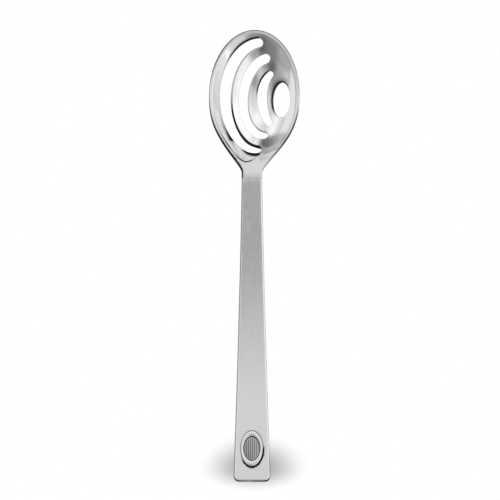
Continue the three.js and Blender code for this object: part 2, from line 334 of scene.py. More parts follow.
@dataclass(frozen=True)
class Trace:
    """A line of painted shade, strongest on the line. It stands in for dark reflections and shadows."""

    line: Points
    width: Points
    strength: Points

    def on(self, plan: Points) -> Points:
        """Share of painted shade at each point in plan.

        Args:
            plan: Rows of x, y.

        Returns:
            0 for no painted shade to 1 for black.
        """
        share = np.zeros(len(plan))
        low, high = self.line.min(axis=0) - self.width.max(), self.line.max(axis=0) + self.width.max()
        close = np.flatnonzero(np.all((plan > low) & (plan < high), axis=1))
        for part in np.array_split(close, max(1, len(close) // AT_ONCE)):
            gaps = np.linalg.norm(plan[part][:, None] - self.line[None], axis=2)
            nearest = gaps.argmin(axis=1)
            away = gaps[np.arange(len(part)), nearest] / self.width[nearest]
            share[part] = self.strength[nearest] * (1 - smooth_step(away * FADE_RATE - FADE_START))
        return share


def along(stops: Stops, share: Points) -> Points:
    """Read a value off a row of (share, value) stops."""
    return np.interp(share, [stop[0] for stop in stops], [stop[1] for stop in stops])


@dataclass(frozen=True)
class SpoonLine:
    """The side line and the joint that the bowl and the handle share. y = 0 at the handle's end."""

    handle_length: float = 92.75
    shank_length: float = 2.2
    lap_length: float = 8.0
    solder_gap: float = 0.1
    seam_gap: float = 0.04
    flat_length: float = 24.5
    neck_bend: float = 5.5
    end_thickness: float = 1.8
    neck_thickness: float = 2.3
    neck_half_width: float = 3.15
    neck_top: float = 9.0
    bowl_neck_reach: float = 23.8

    @property
    def neck_y(self) -> float:
        """Where the bowl's flare starts."""
        return self.handle_length + self.shank_length

    @property
    def bowl_y(self) -> float:
        """Where the bowl is widest."""
        return self.neck_y + self.bowl_neck_reach

    @property
    def tongue_end(self) -> float:
        """Where the tongue under the handle ends."""
        return self.handle_length - self.lap_length

    def top(self, y: Points) -> Points:
        """Height of the top face of the handle and the shank.

        Args:
            y: Places along the spoon.

        Returns:
            The height at each place: level at the end, then rising, then bending back to level.
        """
        ramp_length = self.neck_y - self.neck_bend - self.flat_length
        slope = (self.neck_top - self.end_thickness) / ((ramp_length + self.neck_bend) / 2)
        on_ramp = np.clip(y - self.flat_length, 0, ramp_length)
        on_bend = np.clip(y - self.flat_length - ramp_length, 0, self.neck_bend)
        ramp = slope * on_ramp**2 / (2 * ramp_length)
        return self.end_thickness + ramp + slope * (on_bend - on_bend**2 / (2 * self.neck_bend))

    def thickness(self, y: Points) -> Points:
        """Thickness of the handle and the shank."""
        along = np.clip((y - self.flat_length) / (self.neck_y - self.flat_length), 0, 1)
        return self.end_thickness + (self.neck_thickness - self.end_thickness) * along

    def underside(self, y: Points) -> Points:
        """Height of the underside of the handle and the tongue."""
        return self.top(y) - self.thickness(y)

    def place(self, points: Points) -> Points:
        """Move points from the handle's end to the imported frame."""
        low, high = (np.array(corner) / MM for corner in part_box("handle"))
        return points + np.array([(low[0] + high[0]) / 2, low[1], low[2]])


@dataclass(frozen=True)
class Crescent:
    """A slot along part of an ellipse about x, y, its angles in degrees."""

    x: float
    y: float
    half_x: float
    half_y: float
    start: float
    end: float
    turn: float
    width: float
    end_width: float
    rail_points: int = 90
    end_turn: float = 6.0

    def edge(self, spacing: float = 0.28) -> Points:
        """Give the slot's closed edge in plan.

        Args:
            spacing: Distance between points in millimetres.

        Returns:
            Rows of x, y about the bowl's centre.
        """
        length = math.radians(abs(self.end - self.start)) * (self.half_x + self.half_y) / 2
        share = np.linspace(0, 1, int(length / spacing) + 1)
        middle, out, half = self._rungs(share)
        rails = [middle + out * half[:, None], (middle - out * half[:, None])[::-1]]
        caps = []
        for at, side in ((-1, 1.0), (0, -1.0)):
            onward = np.array([-out[at][1], out[at][0]]) * side
            turns = np.linspace(0, np.pi, int(np.pi * half[at] / spacing) + 2)[1:-1]
            cap = middle[at] + half[at] * (
                np.cos(turns)[:, None] * out[at] * side + np.sin(turns)[:, None] * onward)
            caps.append(cap)
        return self._turned(np.concatenate([rails[0], caps[0], rails[1], caps[1]]))

    def _rungs(self, share: Points) -> tuple[Points, Points, Points]:
        """Give the slot's cross lines.

        Args:
            share: Shares of the slot's length.

        Returns:
            The middles, the outward directions and the half widths at these shares.
        """
        angle = np.radians(self.start + (self.end - self.start) * share)
        middle = np.stack([self.half_x * np.cos(angle), self.half_y * np.sin(angle)], axis=1)
        out = np.stack([self.half_y * np.cos(angle), self.half_x * np.sin(angle)], axis=1)
        out /= np.linalg.norm(out, axis=1, keepdims=True)
        half = (self.width + (self.end_width - self.width) * (2 * share - 1) ** 2) / 2
        return middle, out, half

    def rail(self, start: float, end: float, side: float) -> tuple[Points, Points]:
        """Give one long edge of the slot, with the share of the slot's length at each point.

        Args:
            start: Share of the length where the rail starts.
            end: Share where it ends.
            side: 1 for the outer edge, -1 for the inner one.

        Returns:
            The points in plan and their shares.
        """
        share = np.linspace(start, end, self.rail_points)
        middle, out, half = self._rungs(np.clip(share, 0, 1))
        onward = np.stack([-out[:, 1], out[:, 0]], axis=1)
        past = (np.clip(share - 1, 0, None) * self.end_turn)[:, None] * np.pi / 2
        before = (np.clip(-share, 0, None) * self.end_turn)[:, None] * np.pi / 2
        reach = half[:, None]
        edge = out * side * np.cos(past + before) + onward * (np.sin(past) - np.sin(before))
        return self._turned(middle + edge * reach), share

    def _turned(self, points: Points) -> Points:
        """Turn points about the slot's own centre and move them to its place.

        Args:
            points: Rows of x, y about the slot's centre.

        Returns:
            Rows of x, y about the bowl's centre.
        """
        angle = math.radians(self.turn)
        turn = np.array([[math.cos(angle), math.sin(angle)], [-math.sin(angle), math.cos(angle)]])
        return points @ turn + np.array([self.x, self.y])


@dataclass(frozen=True)
class OvalHole:
    """An oval hole about x, y."""

    x: float = 8.22
    y: float = -0.58
    half_x: float = 2.73
    half_y: float = 5.5
    turn: float = 2.0

    def edge(self, spacing: float = 0.28) -> Points:
        """Give the hole's closed edge in plan.

        Args:
            spacing: About the distance between points in millimetres.

        Returns:
            Rows of x, y about the bowl's centre.
        """
        count = int(np.pi * (self.half_x + self.half_y) / spacing)
        angle = np.linspace(0, 2 * np.pi, count, endpoint=False)
        turn = math.radians(self.turn)
        x, y = self.half_x * np.cos(angle), self.half_y * np.sin(angle)
        return np.stack([self.x + x * math.cos(turn) - y * math.sin(turn),
                         self.y + x * math.sin(turn) + y * math.cos(turn)], axis=1)


SLOTS: tuple[Crescent, ...] = (
    Crescent(x=2.07, y=0.09, half_x=10.65, half_y=16.73, start=94, end=265, turn=0.4,
             width=3.76, end_width=2.54),
    Crescent(x=3.8, y=0.45, half_x=7.1, half_y=11.98, start=98, end=267, turn=-2.5,
             width=2.86, end_width=2.69),
    Crescent(x=8.58, y=-1.36, half_x=5.99, half_y=10.19, start=109, end=209, turn=12,
             width=2.98, end_width=2.1),
)
FIRST_SLOT, _, THIRD_SLOT = SLOTS


@dataclass(frozen=True)
class SlotTrace:
    """Painted shade, standing in for a dark reflection, on a stretch of a slot's long edge, side 1 the
    outer and -1 the inner one.

    The stretch, the width and the strength go by share of the slot's length.
    """

    slot: Crescent
    start: float
    end: float
    side: float
    width: Stops
    strength: Stops

    def trace(self) -> Trace:
        """Give the line with its width and strength at each point."""
        line, share = self.slot.rail(self.start, self.end, self.side)
        return Trace(line, along(self.width, share), along(self.strength, share))


@dataclass(frozen=True)
class PaintedShadePatch:
    """A soft patch of painted shade along a short straight line, with its strength at the two ends."""

    start: tuple[float, float]
    end: tuple[float, float]
    width: float
    strength: tuple[float, float]
    count: int = 30

    def trace(self) -> Trace:
        """Give the patch's line with its width and strength at each point."""
        line = np.linspace(self.start, self.end, self.count)
        return Trace(line, np.full(self.count, self.width), np.linspace(*self.strength, self.count))


@dataclass(frozen=True)
class RoundTrace:
    """Painted shade round a closed line. Its width and strength go by the angle in degrees."""

    width: Stops
    strength: Stops

    def trace(self, line: Points, degrees: Points) -> Trace:
        """Lay the polish along a line whose points lie at the given angles."""
        return Trace(line, along(self.width, degrees), along(self.strength, degrees))


# Painted shade on the bowl's upper face: dark lines along the slots' edges and patches at the heel and
# the tip. They stand in for dark reflections and shadows.
SLOT_TRACES: tuple[SlotTrace, ...] = (
    SlotTrace(FIRST_SLOT, -0.04, 0.4, 1,
              width=((0, 0.95), (0.14, 1.1), (0.26, 0.6), (0.4, 0.22)),
              strength=((-0.04, 0.0), (0.0, 0.9), (0.22, 0.95), (0.4, 0))),
    SlotTrace(FIRST_SLOT, 0.5, 0.92, 1,
              width=((0.5, 0.2), (0.66, 0.25), (0.78, 1.7), (0.81, 0.3), (0.92, 0.2)),
              strength=((0.5, 0.1), (0.7, 0.6), (0.74, 0.95), (0.79, 0.95), (0.81, 0.1), (0.92, 0.0))),
    SlotTrace(FIRST_SLOT, 0.86, 1.12, 1,
              width=((0.86, 0.3), (0.93, 1.5), (1.0, 2.0), (1.06, 1.6), (1.12, 0.4)),
              strength=((0.86, 0), (0.9, 0.9), (1.05, 1.0), (1.12, 0.2))),
    SlotTrace(FIRST_SLOT, 0.6, 1.02, -1,
              width=((0.6, 0.15), (0.7, 0.3), (1, 0.35)),
              strength=((0.6, 0.0), (0.74, 0.35), (0.82, 0.8), (1, 0.95))),
    SlotTrace(THIRD_SLOT, -0.1, 0.55, 1,
              width=((-0.1, 0.4), (0.1, 0.62), (0.4, 0.48), (0.55, 0.22)),
              strength=((-0.1, 0.5), (0, 1.0), (0.38, 0.95), (0.55, 0.0))),
)
PAINTED_SHADE_PATCHES: tuple[PaintedShadePatch, ...] = (
    PaintedShadePatch((4.0, -14.4), (8.4, -13.7), 3.4, (0.66, 0.3)),
    PaintedShadePatch((3.6, -16.9), (6.4, -16.0), 2.8, (0.45, 0.34)),
    PaintedShadePatch((2.8, -19.2), (5.2, -18.2), 2.0, (0.32, 0.2)),
    PaintedShadePatch((2.6, 16.5), (6.0, 14.6), 3.0, (0.36, 0.22)),
    PaintedShadePatch((6.4, 15.0), (10.4, 9.4), 2.4, (0.3, 0.22)),
)
# Painted shade round the oval hole, with a painted shadow on its side towards the tip, and along the
# rim's edge and its land.
OVAL_LINE = RoundTrace(
    width=((35, 0.25), (60, 0.6), (110, 0.65), (160, 0.5), (215, 0.4), (240, 0.2)),
    strength=((25, 0), (45, 0.9), (90, 1), (200, 1), (225, 0.3), (240, 0)))
OVAL_SHADE = RoundTrace(
    width=((0, 1.9),),
    strength=((45, 0), (75, 0.32), (115, 0.42), (150, 0.12), (170, 0)))
RIM_LINE = RoundTrace(
    width=((0, 0.34), (60, 0.42), (130, 0.5), (180, 0.32), (205, 0.5), (235, 0.85), (262, 0.7),
           (275, 0.25), (290, 0.5), (320, 0.6), (360, 0.28)),
    strength=((0, 0.5), (60, 0.8), (110, 0.85), (140, 0.9), (175, 0.4), (205, 0.8), (235, 1),
              (260, 1), (268, 0.5), (280, 0.45), (300, 0.85), (330, 0.8), (350, 0.4), (360, 0.3)))
LAND_LINE = RoundTrace(
    width=((0, 0.16), (225, 0.2), (240, 0.3), (265, 0.3), (285, 0.25), (320, 0.16), (360, 0.16)),
    strength=((0, 0.3), (60, 0.2), (120, 0.15), (200, 0.2), (225, 0.5), (245, 0.85), (252, 0.5),
              (258, 0.9), (268, 0.9), (276, 0.1), (292, 0.1), (300, 0.7), (330, 0.35), (360, 0.3)))
RIM_GREY = RoundTrace(
    width=((0, 0.8),),
    strength=((0, 0.05), (30, 0.2), (60, 0.26), (100, 0.24), (150, 0.1), (180, 0), (360, 0.05)))

# Marks on the rows of the rim's outer edge and the holes' walls, which become painted shade on those
# edges.
RIM_TOP_ROWS = 8
RIM_MARKS = [0] * RIM_TOP_ROWS + [0.5] * 4 + [0.3, 0.2, 0]
HOLE_MARKS = [0, 0.5, 1, 1, 1, 1, 1, 1, 0.5, 0]


@dataclass
class Bowl:
    """The pressed and slotted bowl with its shank and the tongue under the handle."""

    line: SpoonLine
    half_width: float = 13.86
    tip_reach: float = 20.6
    shoulder_power: float = 2.5
    flare_power: float = 1.365
    lean: float = 0.57
    side_step: float = 0.47
    side_step_length: float = 11.75
    depth: float = 7.5
    sheet: float = 1.1
    rim_land: float = 1.1
    rim_edge: float = 0.5
    roundness: float = 2.3
    heel_reach: float = 21.8
    heel_squareness: float = 16.0
    heel_tilt: float = 0.55
    heel_pivot: float = -0.6
    heel_softness: float = 1.7
    rim_fall: float = 0.5
    rim_rise: float = 0.4
    edge_growth: float = 3.0
    land_ease: float = 0.2
    rim_ease: float = 0.34
    under_ease: float = 0.13
    slot_ease: float = 0.16
    spacing: float = 0.34
    heel_spread: float = 4.5
    soft_heel_y: Fade = Fade(-10.0, -4.0)
    soft_heel_left: Fade = Fade(0.5, 3.0)
    soft_heel_right: Fade = Fade(9.5, -3.0)
    reach_halvings: int = 36
    hole_rounds: int = 8
    hole_rows: int = 5
    under_rows: int = 6
    tongue_rows: int = 24
    across_points: int = 19
    shank_points: int = 9
    flare_points: int = 90
    tip_points: int = 80
    land_points: int = 720
    fine_points: int = 420
    fine_gap: float = 0.09
    grid_gap: float = 0.7
    beside_hole: float = 0.22
    seam_clear: float = 0.05
    land_steps: tuple[float, ...] = (0.45, 0.28, 0.15, 0.06, -0.02, -0.1, -0.2, -0.36)
    under_steps: tuple[float, ...] = (-0.3, -0.45, -0.7, -1.0)
    grid_x: tuple[float, float] = (-16.0, 16.0)
    grid_y: tuple[float, float] = (-30.0, 25.0)
    grid_past_tip: float = 9.0
    # Shares of painted shade on the cut and eased edges: less along part of the middle slot's edge, more
    # towards the neck, and on the tongue's sides.
    pale_edge: Oval = Oval(3.8, 0.45, 8.5, 13.4)
    pale_width: float = 0.06
    pale_right: float = 1.0
    pale_share: float = 0.06
    cut_share: float = 0.3
    inner_slots: Oval = Oval(2.9, 0.3, 8.7, 14.2)
    outer_share: float = 0.6
    inner_share: float = 0.1
    neck_side: Fade = Fade(3.0, -9.0)
    seam_margin: float = 0.01
    tongue_share: float = 0.5
    face_depth: float = 0.45

    @property
    def neck_reach(self) -> float:
        """From the bowl's centre to the start of the shank."""
        return self.line.bowl_neck_reach

    @property
    def rim_z(self) -> float:
        """Height of the rim where the bowl is widest."""
        return self.depth + self.sheet

    def outline(self, y: Points) -> Points:
        """Half width of the bowl's outline, also along the shank.

        Args:
            y: Places along the bowl, from its centre.

        Returns:
            The half width at each place.
        """
        rise = np.clip(y / self.tip_reach, 0, 1) ** 2
        fall = np.clip(-y / self.neck_reach, 0, 1) ** self.shoulder_power
        neck = self.line.neck_half_width
        flare = neck + (self.half_width - neck) * (1 - fall) ** self.flare_power
        return np.where(y >= 0, self.half_width * np.sqrt(1 - rise), flare)

    def cup(self, x: Points, y: Points, inset: float) -> Points:
        """Half width of the pressed cup. Its heel runs askew.

        Args:
            x: Places across, which decide how far the heel reaches.
            y: Places along the bowl, from its centre.
            inset: How far the cup's edge lies inside the outline.

        Returns:
            The half width at each place.
        """
        rise = np.clip(y / (self.tip_reach - inset), 0, 1) ** 2
        slope = (self.outline(y) - self.outline(y - SLOPE_STEP)) / SLOPE_STEP
        aside = self.heel_tilt * self.heel_spread * np.tanh((x - self.heel_pivot) / self.heel_spread)
        fall = np.clip(-y / (self.heel_reach - inset - aside), 0, 1) ** self.heel_squareness
        heel = (self.outline(y) - inset * np.hypot(1, slope)) * np.sqrt(1 - fall)
        return np.where(y >= 0, (self.half_width - inset) * np.sqrt(1 - rise), heel)

    def reach(self, x: Points, y: Points, inset: float) -> Points:
        """Distance from the bowl's centre to the cup's edge in the direction of each point.

        Args:
            x: Places across.
            y: Places along the bowl.
            inset: How far the cup's edge lies inside the outline.

        Returns:
            The distance for each point, found by halving.
        """
        length = np.maximum(np.hypot(x, y), LEAST_LENGTH)
        near = np.zeros_like(length)
        far = np.full_like(length, self.neck_reach + self.half_width)
        for _ in range(self.reach_halvings):
            middle = (near + far) / 2
            across = x / length * middle
            ahead = y / length * middle
            beyond = (ahead > self.tip_reach - inset) | (ahead < -self.neck_reach)
            beyond |= np.abs(across) > self.cup(across, ahead, inset)
            far = np.where(beyond, middle, far)
            near = np.where(beyond, near, middle)
        return near

    def rim(self, y: Points) -> Points:
        """Height of the rim."""
        tip = self.rim_z - self.rim_fall * (y / self.tip_reach) ** 2
        return np.where(y >= 0, tip, self.rim_z + self.rim_rise * smooth_step(-y / self.neck_reach))

    def _pressed(self, x: Points, y: Points, inset: float, ease: float) -> Points:
        """Share of the full depth at each point, with an eased edge.

        Args:
            x: Places across.
            y: Places along the bowl.
            inset: How far the cup's edge lies inside the outline.
            ease: Width of the eased edge.

        Returns:
            0 on the rim to 1 in the middle.
        """
        reach = self.reach(x, y, inset)
        inside = reach - np.hypot(x, y)
        at_heel = self.soft_heel_y.at(y) * self.soft_heel_left.at(x) * self.soft_heel_right.at(x)
        ease = ease + self.heel_softness * at_heel
        eased = (inside + ease) ** 2 / (4 * ease)
        inside = np.where(np.abs(inside) < ease, eased, np.maximum(inside, 0))
        return 1 - np.clip(1 - inside / reach, 0, 1) ** self.roundness

    def upper(self, x: Points, y: Points) -> Points:
        """Height of the upper face of the bowl and the shank."""
        bowl = self.rim(y) - self.depth * self._pressed(x, y, self.rim_land, self.land_ease)
        return np.where(y < -self.neck_reach, self.line.top(y + self.line.bowl_y), bowl)

    def lower(self, x: Points, y: Points) -> Points:
        """Height of the lower face of the bowl and the shank.

        Args:
            x: Places across.
            y: Places along the bowl.

        Returns:
            The height at each point.
        """
        growth = np.clip(-y / self.neck_reach, 0, None) ** self.edge_growth
        edge = self.rim_edge + (self.line.neck_thickness - self.rim_edge) * growth
        pressed = self._pressed(x, y, 0.0, self.land_ease)
        bowl = self.rim(y) - edge - (self.depth + self.sheet - edge) * pressed
        return np.where(y < -self.neck_reach, self.line.underside(y + self.line.bowl_y), bowl)

    def place(self, points: Points) -> Points:
        """Lean the bowl off the handle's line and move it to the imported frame.

        Args:
            points: Rows of x, y, z about the bowl's centre.

        Returns:
            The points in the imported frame, in millimetres.
        """
        past = np.maximum(0, points[:, 1] + self.neck_reach)
        aside = self.side_step * smooth_step(past / self.side_step_length)
        moved = points.copy()
        moved[:, 0] += aside + math.tan(math.radians(self.lean)) * past
        moved[:, 1] += self.line.bowl_y
        return self.line.place(moved)

    def edge_line(self, start: float) -> Points:
        """Give the outline in plan from the right of the shank round the tip to its left.

        Args:
            start: Where along y the line starts and ends.

        Returns:
            Rows of x, y about the bowl's centre.
        """
        shank = np.linspace(start, -self.neck_reach, self.shank_points)[:-1]
        lower = -self.neck_reach * np.cos(np.linspace(0, np.pi / 2, self.flare_points))
        lower = np.stack([self.outline(lower), lower], axis=1)
        angle = np.linspace(0, np.pi / 2, self.tip_points)[1:]
        upper = np.stack([self.half_width * np.cos(angle), self.tip_reach * np.sin(angle)], axis=1)
        upper[-1, 0] = 0.0
        shank = np.stack([np.full(len(shank), self.line.neck_half_width), shank], axis=1)
        right = self._evened(np.concatenate([shank, lower, upper]))
        return np.concatenate([right, right[:-1][::-1] * np.array([-1, 1])])

    def _evened(self, line: Points) -> Points:
        """Space a line's points evenly.

        Args:
            line: Rows of x, y.

        Returns:
            Points on the same line, about one spacing apart.
        """
        steps = np.r_[0, np.cumsum(np.linalg.norm(np.diff(line, axis=0), axis=1))]
        even = np.linspace(0, steps[-1], int(steps[-1] / self.spacing) + 1)
        return np.stack([np.interp(even, steps, line[:, k]) for k in (0, 1)], axis=1)

    def build(self) -> bpy.types.Object:
        """Make the bowl's mesh.

        Returns:
            The bowl's object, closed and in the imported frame.
        """
        work = Patchwork()
        seam = self.line.handle_length - self.line.bowl_y
        edge = self.edge_line(seam)
        normal = outward_normals(edge, closed=False)
        normal[[0, -1]] = [[1, 0], [-1, 0]]
        upper_border, lower_border, rim = self._add_rim(work, edge, normal)
        upper_holes, lower_holes, near_upper, near_lower = [], [], [], []
        for hole in (*SLOTS, OvalHole()):
            self._add_hole(work, hole.edge(), upper_holes, lower_holes, near_upper, near_lower)
        for border, holes, near, height, inset in (
            (upper_border, upper_holes, near_upper, self.upper, self.rim_land),
            (lower_border, lower_holes, near_lower, self.lower, 0.0),
        ):
            across = self._across(border[-1], border[0])
            ring = np.concatenate([border, across])
            extra = self._fill(ring, holes, near, inset)
            work.add_sheet([ring, *holes], extra, height, up=height == self.upper)
        self._add_tongue(work, upper_border, lower_border, rim, seam)
        return work.finish("spoon_bowl", self.place, shade=self.darkened)

    def _traces(self) -> list[Trace]:
        """List the lines along which painted shade lies on the upper face.

        Returns:
            The traces at the slots, the neck, the tip, the oval hole and the rim.
        """
        traces = [dark.trace() for dark in (*SLOT_TRACES, *PAINTED_SHADE_PATCHES)]
        oval = OvalHole().edge()
        turn = np.degrees(np.linspace(0, 2 * np.pi, len(oval), endpoint=False))
        traces += [dark.trace(oval, turn) for dark in (OVAL_LINE, OVAL_SHADE)]
        edge = self.edge_line(self.line.handle_length - self.line.bowl_y)
        turn = np.degrees(np.arctan2(edge[:, 1], edge[:, 0])) % 360
        traces.append(RIM_LINE.trace(edge, turn))
        around = np.linspace(0, 2 * np.pi, self.land_points, endpoint=False)
        way = np.stack([np.cos(around), np.sin(around)], axis=1)
        for inset, dark in ((self.rim_land, LAND_LINE), (self.rim_land / 2, RIM_GREY)):
            line = way * self.reach(way[:, 0], way[:, 1], inset)[:, None]
            traces.append(dark.trace(line, np.degrees(around)))
        return traces

    def darkened(self, points: Points, marks: Points) -> Points:
        """Work the marks of the cut edges over into shares of painted shade, which stands in for dark
        reflections and shadows.

        Args:
            points: All the bowl's points, about its centre.
            marks: 1 on a cut or eased edge, 0 on a face.

        Returns:
            0 for no painted shade to 1 for black.
        """
        x, y, z = points.T
        # Painted shade on the cut and eased edges, less along part of the middle slot's edge and more
        # towards the neck.
        pale = (np.abs(self.pale_edge.away(x, y) - 1) < self.pale_width) & (x < self.pale_right)
        cut = np.where(pale, self.pale_share, self.cut_share)
        outside = self.inner_slots.away(x, y) > 1
        towards_neck = np.where(outside, self.outer_share, self.inner_share)
        shares = marks * (cut + towards_neck * self.neck_side.at(y))
        # The tongue's sides, under the handle, are darkened by a set share.
        on_tongue = y < self.line.handle_length - self.line.bowl_y - self.seam_margin
        at_side = smooth_step((np.abs(x) - self.line.neck_half_width) / self.under_ease + 1)
        shares = np.where(on_tongue, self.tongue_share * at_side, shares)
        # Painted shade along the traces, on the upper face only.
        upper = z > self.upper(x, y) - self.face_depth
        for trace in self._traces():
            shares[upper] = np.maximum(shares[upper], trace.on(points[upper][:, :2]))
        return shares

    def _across(self, first: Points, last: Points) -> Points:
        """Give the points between two ends, without the ends."""
        share = np.linspace(0, 1, self.across_points)[1:-1, None]
        return first + (last - first) * share

    def _lifted(self, plan: Points, height: Heights) -> Points:
        """Give the points of a plan line on one of the faces."""
        return np.column_stack([plan, height(plan[:, 0], plan[:, 1])])

    def _add_rim(self, work: Patchwork, edge: Points,
                 normal: Points) -> tuple[Points, Points, list[Points]]:
        """Add the rounded outer edge of the rim and the shank's sides.

        Args:
            work: Gathers the faces.
            edge: The outline in plan.
            normal: The outline's normals.

        Returns:
            The borders of the upper and the lower face in plan, and the rows of the rim.
        """
        ease = self.rim_ease
        inner = edge - normal * ease
        top = self._lifted(inner, self.upper)
        rows = []
        for angle in np.linspace(0, np.pi / 2, RIM_TOP_ROWS):
            plan = inner + normal * ease * math.sin(angle)
            rows.append(np.column_stack([plan, top[:, 2] - ease * (1 - math.cos(angle))]))
        ease = self.under_ease
        under = edge - normal * ease
        bottom = self._lifted(under, self.lower)
        halfway = (top[:, 2] + bottom[:, 2] - self.line.solder_gap) / 2
        side = np.minimum(rows[-1][:, 2] - LEAST_GAP, halfway)
        rows.append(np.column_stack([edge, side]))
        for angle in np.linspace(np.pi / 2, 0, self.under_rows):
            plan = under + normal * ease * math.sin(angle)
            rows.append(np.column_stack([plan, bottom[:, 2] + ease * (1 - math.cos(angle))]))
        work.add_band(rows, closed=False, marks=RIM_MARKS)
        return inner, under, rows

    def _add_hole(self, work: Patchwork, edge: Points, upper: list[Points], lower: list[Points],
                  near_upper: list[Points], near_lower: list[Points]) -> None:
        """Add the wall of a hole, cut square to the sheet, with both edges eased.

        Args:
            work: Gathers the faces.
            edge: The hole's closed edge in plan, on the upper face.
            upper: Takes the border of the upper face.
            lower: Takes the border of the lower face.
            near_upper: Takes the points beside the hole on the upper face.
            near_lower: Takes the points beside the hole on the lower face.
        """
        away = outward_normals(edge, closed=True)
        onward = np.roll(edge, -1, axis=0)
        if np.sum(edge[:, 0] * onward[:, 1] - onward[:, 0] * edge[:, 1]) < 0:
            edge, away = edge[::-1], -away[::-1]
        ease, step = self.slot_ease, SLOPE_STEP
        x, y = edge.T
        slope_x = (self.upper(x + step, y) - self.upper(x - step, y)) / (2 * step)
        slope_y = (self.upper(x, y + step) - self.upper(x, y - step)) / (2 * step)
        square = np.stack([-slope_x, -slope_y, np.ones_like(x)], axis=1)
        square /= np.linalg.norm(square, axis=1, keepdims=True)
        level = np.column_stack([away, np.zeros(len(away))])
        side = level - square * np.sum(level * square, axis=1, keepdims=True)
        side /= np.linalg.norm(side, axis=1, keepdims=True)
        face = self._lifted(edge, self.upper)
        through = np.full(len(edge), self.sheet)
        for _ in range(self.hole_rounds):
            at = face - square * through[:, None]
            through += (at[:, 2] - self.lower(at[:, 0], at[:, 1])) / square[:, 2]
        under = face - square * through[:, None]
        rows = []
        for angle in np.linspace(0, np.pi / 2, self.hole_rows):
            turned = square * math.cos(angle) - side * math.sin(angle)
            rows.append(face + (side - square + turned) * ease)
        rows[0] = self._lifted(rows[0][:, :2], self.upper)
        for angle in np.linspace(0, np.pi / 2, self.hole_rows):
            turned = -side * math.cos(angle) - square * math.sin(angle)
            rows.append(under + (square + side + turned) * ease)
        rows[-1] = self._lifted(rows[-1][:, :2], self.lower)
        work.add_band(rows, closed=True, marks=HOLE_MARKS)
        upper.append(rows[0][:, :2])
        lower.append(rows[-1][:, :2])
        for near, row in ((near_upper, rows[0]), (near_lower, rows[-1])):
            near.append(row[:, :2] + away * self.beside_hole)

    def _fill(self, ring: Points, holes: list[Points], near: list[Points], inset: float) -> Points:
        """Spread points over a face, close together where the rim's land ends.

        Args:
            ring: The face's outer border.
            holes: The borders of its holes.
            near: Points beside the holes.
            inset: How far the cup's edge lies inside the outline.

        Returns:
            Rows of x, y.
        """
        angle = np.linspace(0, 2 * np.pi, self.fine_points, endpoint=False)
        way = np.stack([np.cos(angle), np.sin(angle)], axis=1)
        reach = self.reach(way[:, 0], way[:, 1], max(inset, LEAST_GAP))
        steps = self.land_steps if inset else self.under_steps
        lines = [way * (reach + step)[:, None] for step in steps]
        fine = np.concatenate([*near, *lines])
        fine = fine[within(fine, ring)]
        fine = clear_of(fine, np.concatenate([ring, *holes]), self.fine_gap)
        grid = self._grid()
        inside = np.abs(grid[:, 0]) < self.outline(grid[:, 1])
        inside &= np.abs(grid[:, 1]) < self.tip_reach + self.grid_past_tip
        for hole in holes:
            inside &= ~within(grid, hole)
        borders = np.concatenate([ring, *holes, fine])
        grid = clear_of(grid[inside], borders, self.grid_gap * self.spacing)
        points = np.concatenate([fine, grid])
        low = ring[:, 1].min() + self.seam_clear
        return points[(points[:, 1] > low) & within(points, ring)]

    def _grid(self) -> Points:
        """Give staggered rows of points over the whole bowl.

        Returns:
            Rows of x, y, one spacing apart.
        """
        pitch = self.spacing
        across = np.arange(*self.grid_x, pitch)
        rows = []
        for i, y in enumerate(np.arange(*self.grid_y, pitch * math.sqrt(3) / 2)):
            rows.append(np.stack([across + pitch / 2 * (i % 2), np.full(len(across), y)], axis=1))
        return np.concatenate(rows)

    def _add_tongue(self, work: Patchwork, upper: Points, lower: Points,
                    rim: list[Points], seam: float) -> None:
        """Add the step at the seam and the tongue that runs under the handle.

        Args:
            work: Gathers the faces.
            upper: Border of the upper face.
            lower: Border of the lower face.
            rim: Rows of the rim's rounded edge.
            seam: Where the seam lies along y from the bowl's centre.
        """
        line = self.line
        half = line.neck_half_width
        across = np.concatenate([lower[-1:], self._across(lower[-1], lower[0]), lower[:1]])[:, 0]
        end = line.tongue_end + line.solder_gap - line.bowl_y
        ys = np.linspace(seam, end, self.tongue_rows)
        whole = ys + line.bowl_y
        lap = line.top(whole) - (line.thickness(whole) + line.solder_gap) / 2
        under = line.underside(whole)
        wide = np.concatenate([[-half], across[1:-1], [half]])
        rows = [self._level(wide, y, z) for y, z in zip(ys, lap)]
        work.add_band(rows, closed=False)
        base = [self._level(across, y, z) for y, z in zip(ys, under)]
        work.add_band(base, closed=False)
        left, right = (self._tongue_side(side, ys, lap, under) for side in (-1.0, 1.0))
        work.add_band(left, closed=False)
        work.add_band(right, closed=False)
        tip = [rows[-1], right[-1][1:], base[-1][::-1][1:-1], left[-1][::-1][:-1]]
        work.add_face(np.concatenate(tip))
        top = np.concatenate([upper[-1:], self._across(upper[-1], upper[0]), upper[:1]])
        top = self._lifted(top, self.upper)
        arc_right = np.array([row[0] for row in rim])[:RIM_TOP_ROWS]
        arc_left = np.array([row[-1] for row in rim])[:RIM_TOP_ROWS]
        work.add_face(np.concatenate([rows[0], arc_right[::-1], top[::-1][1:-1], arc_left]))

    def _level(self, x: Points, y: float, z: float) -> Points:
        """Give a level row of points across the tongue."""
        return np.column_stack([x, np.full(len(x), y), np.full(len(x), z)])

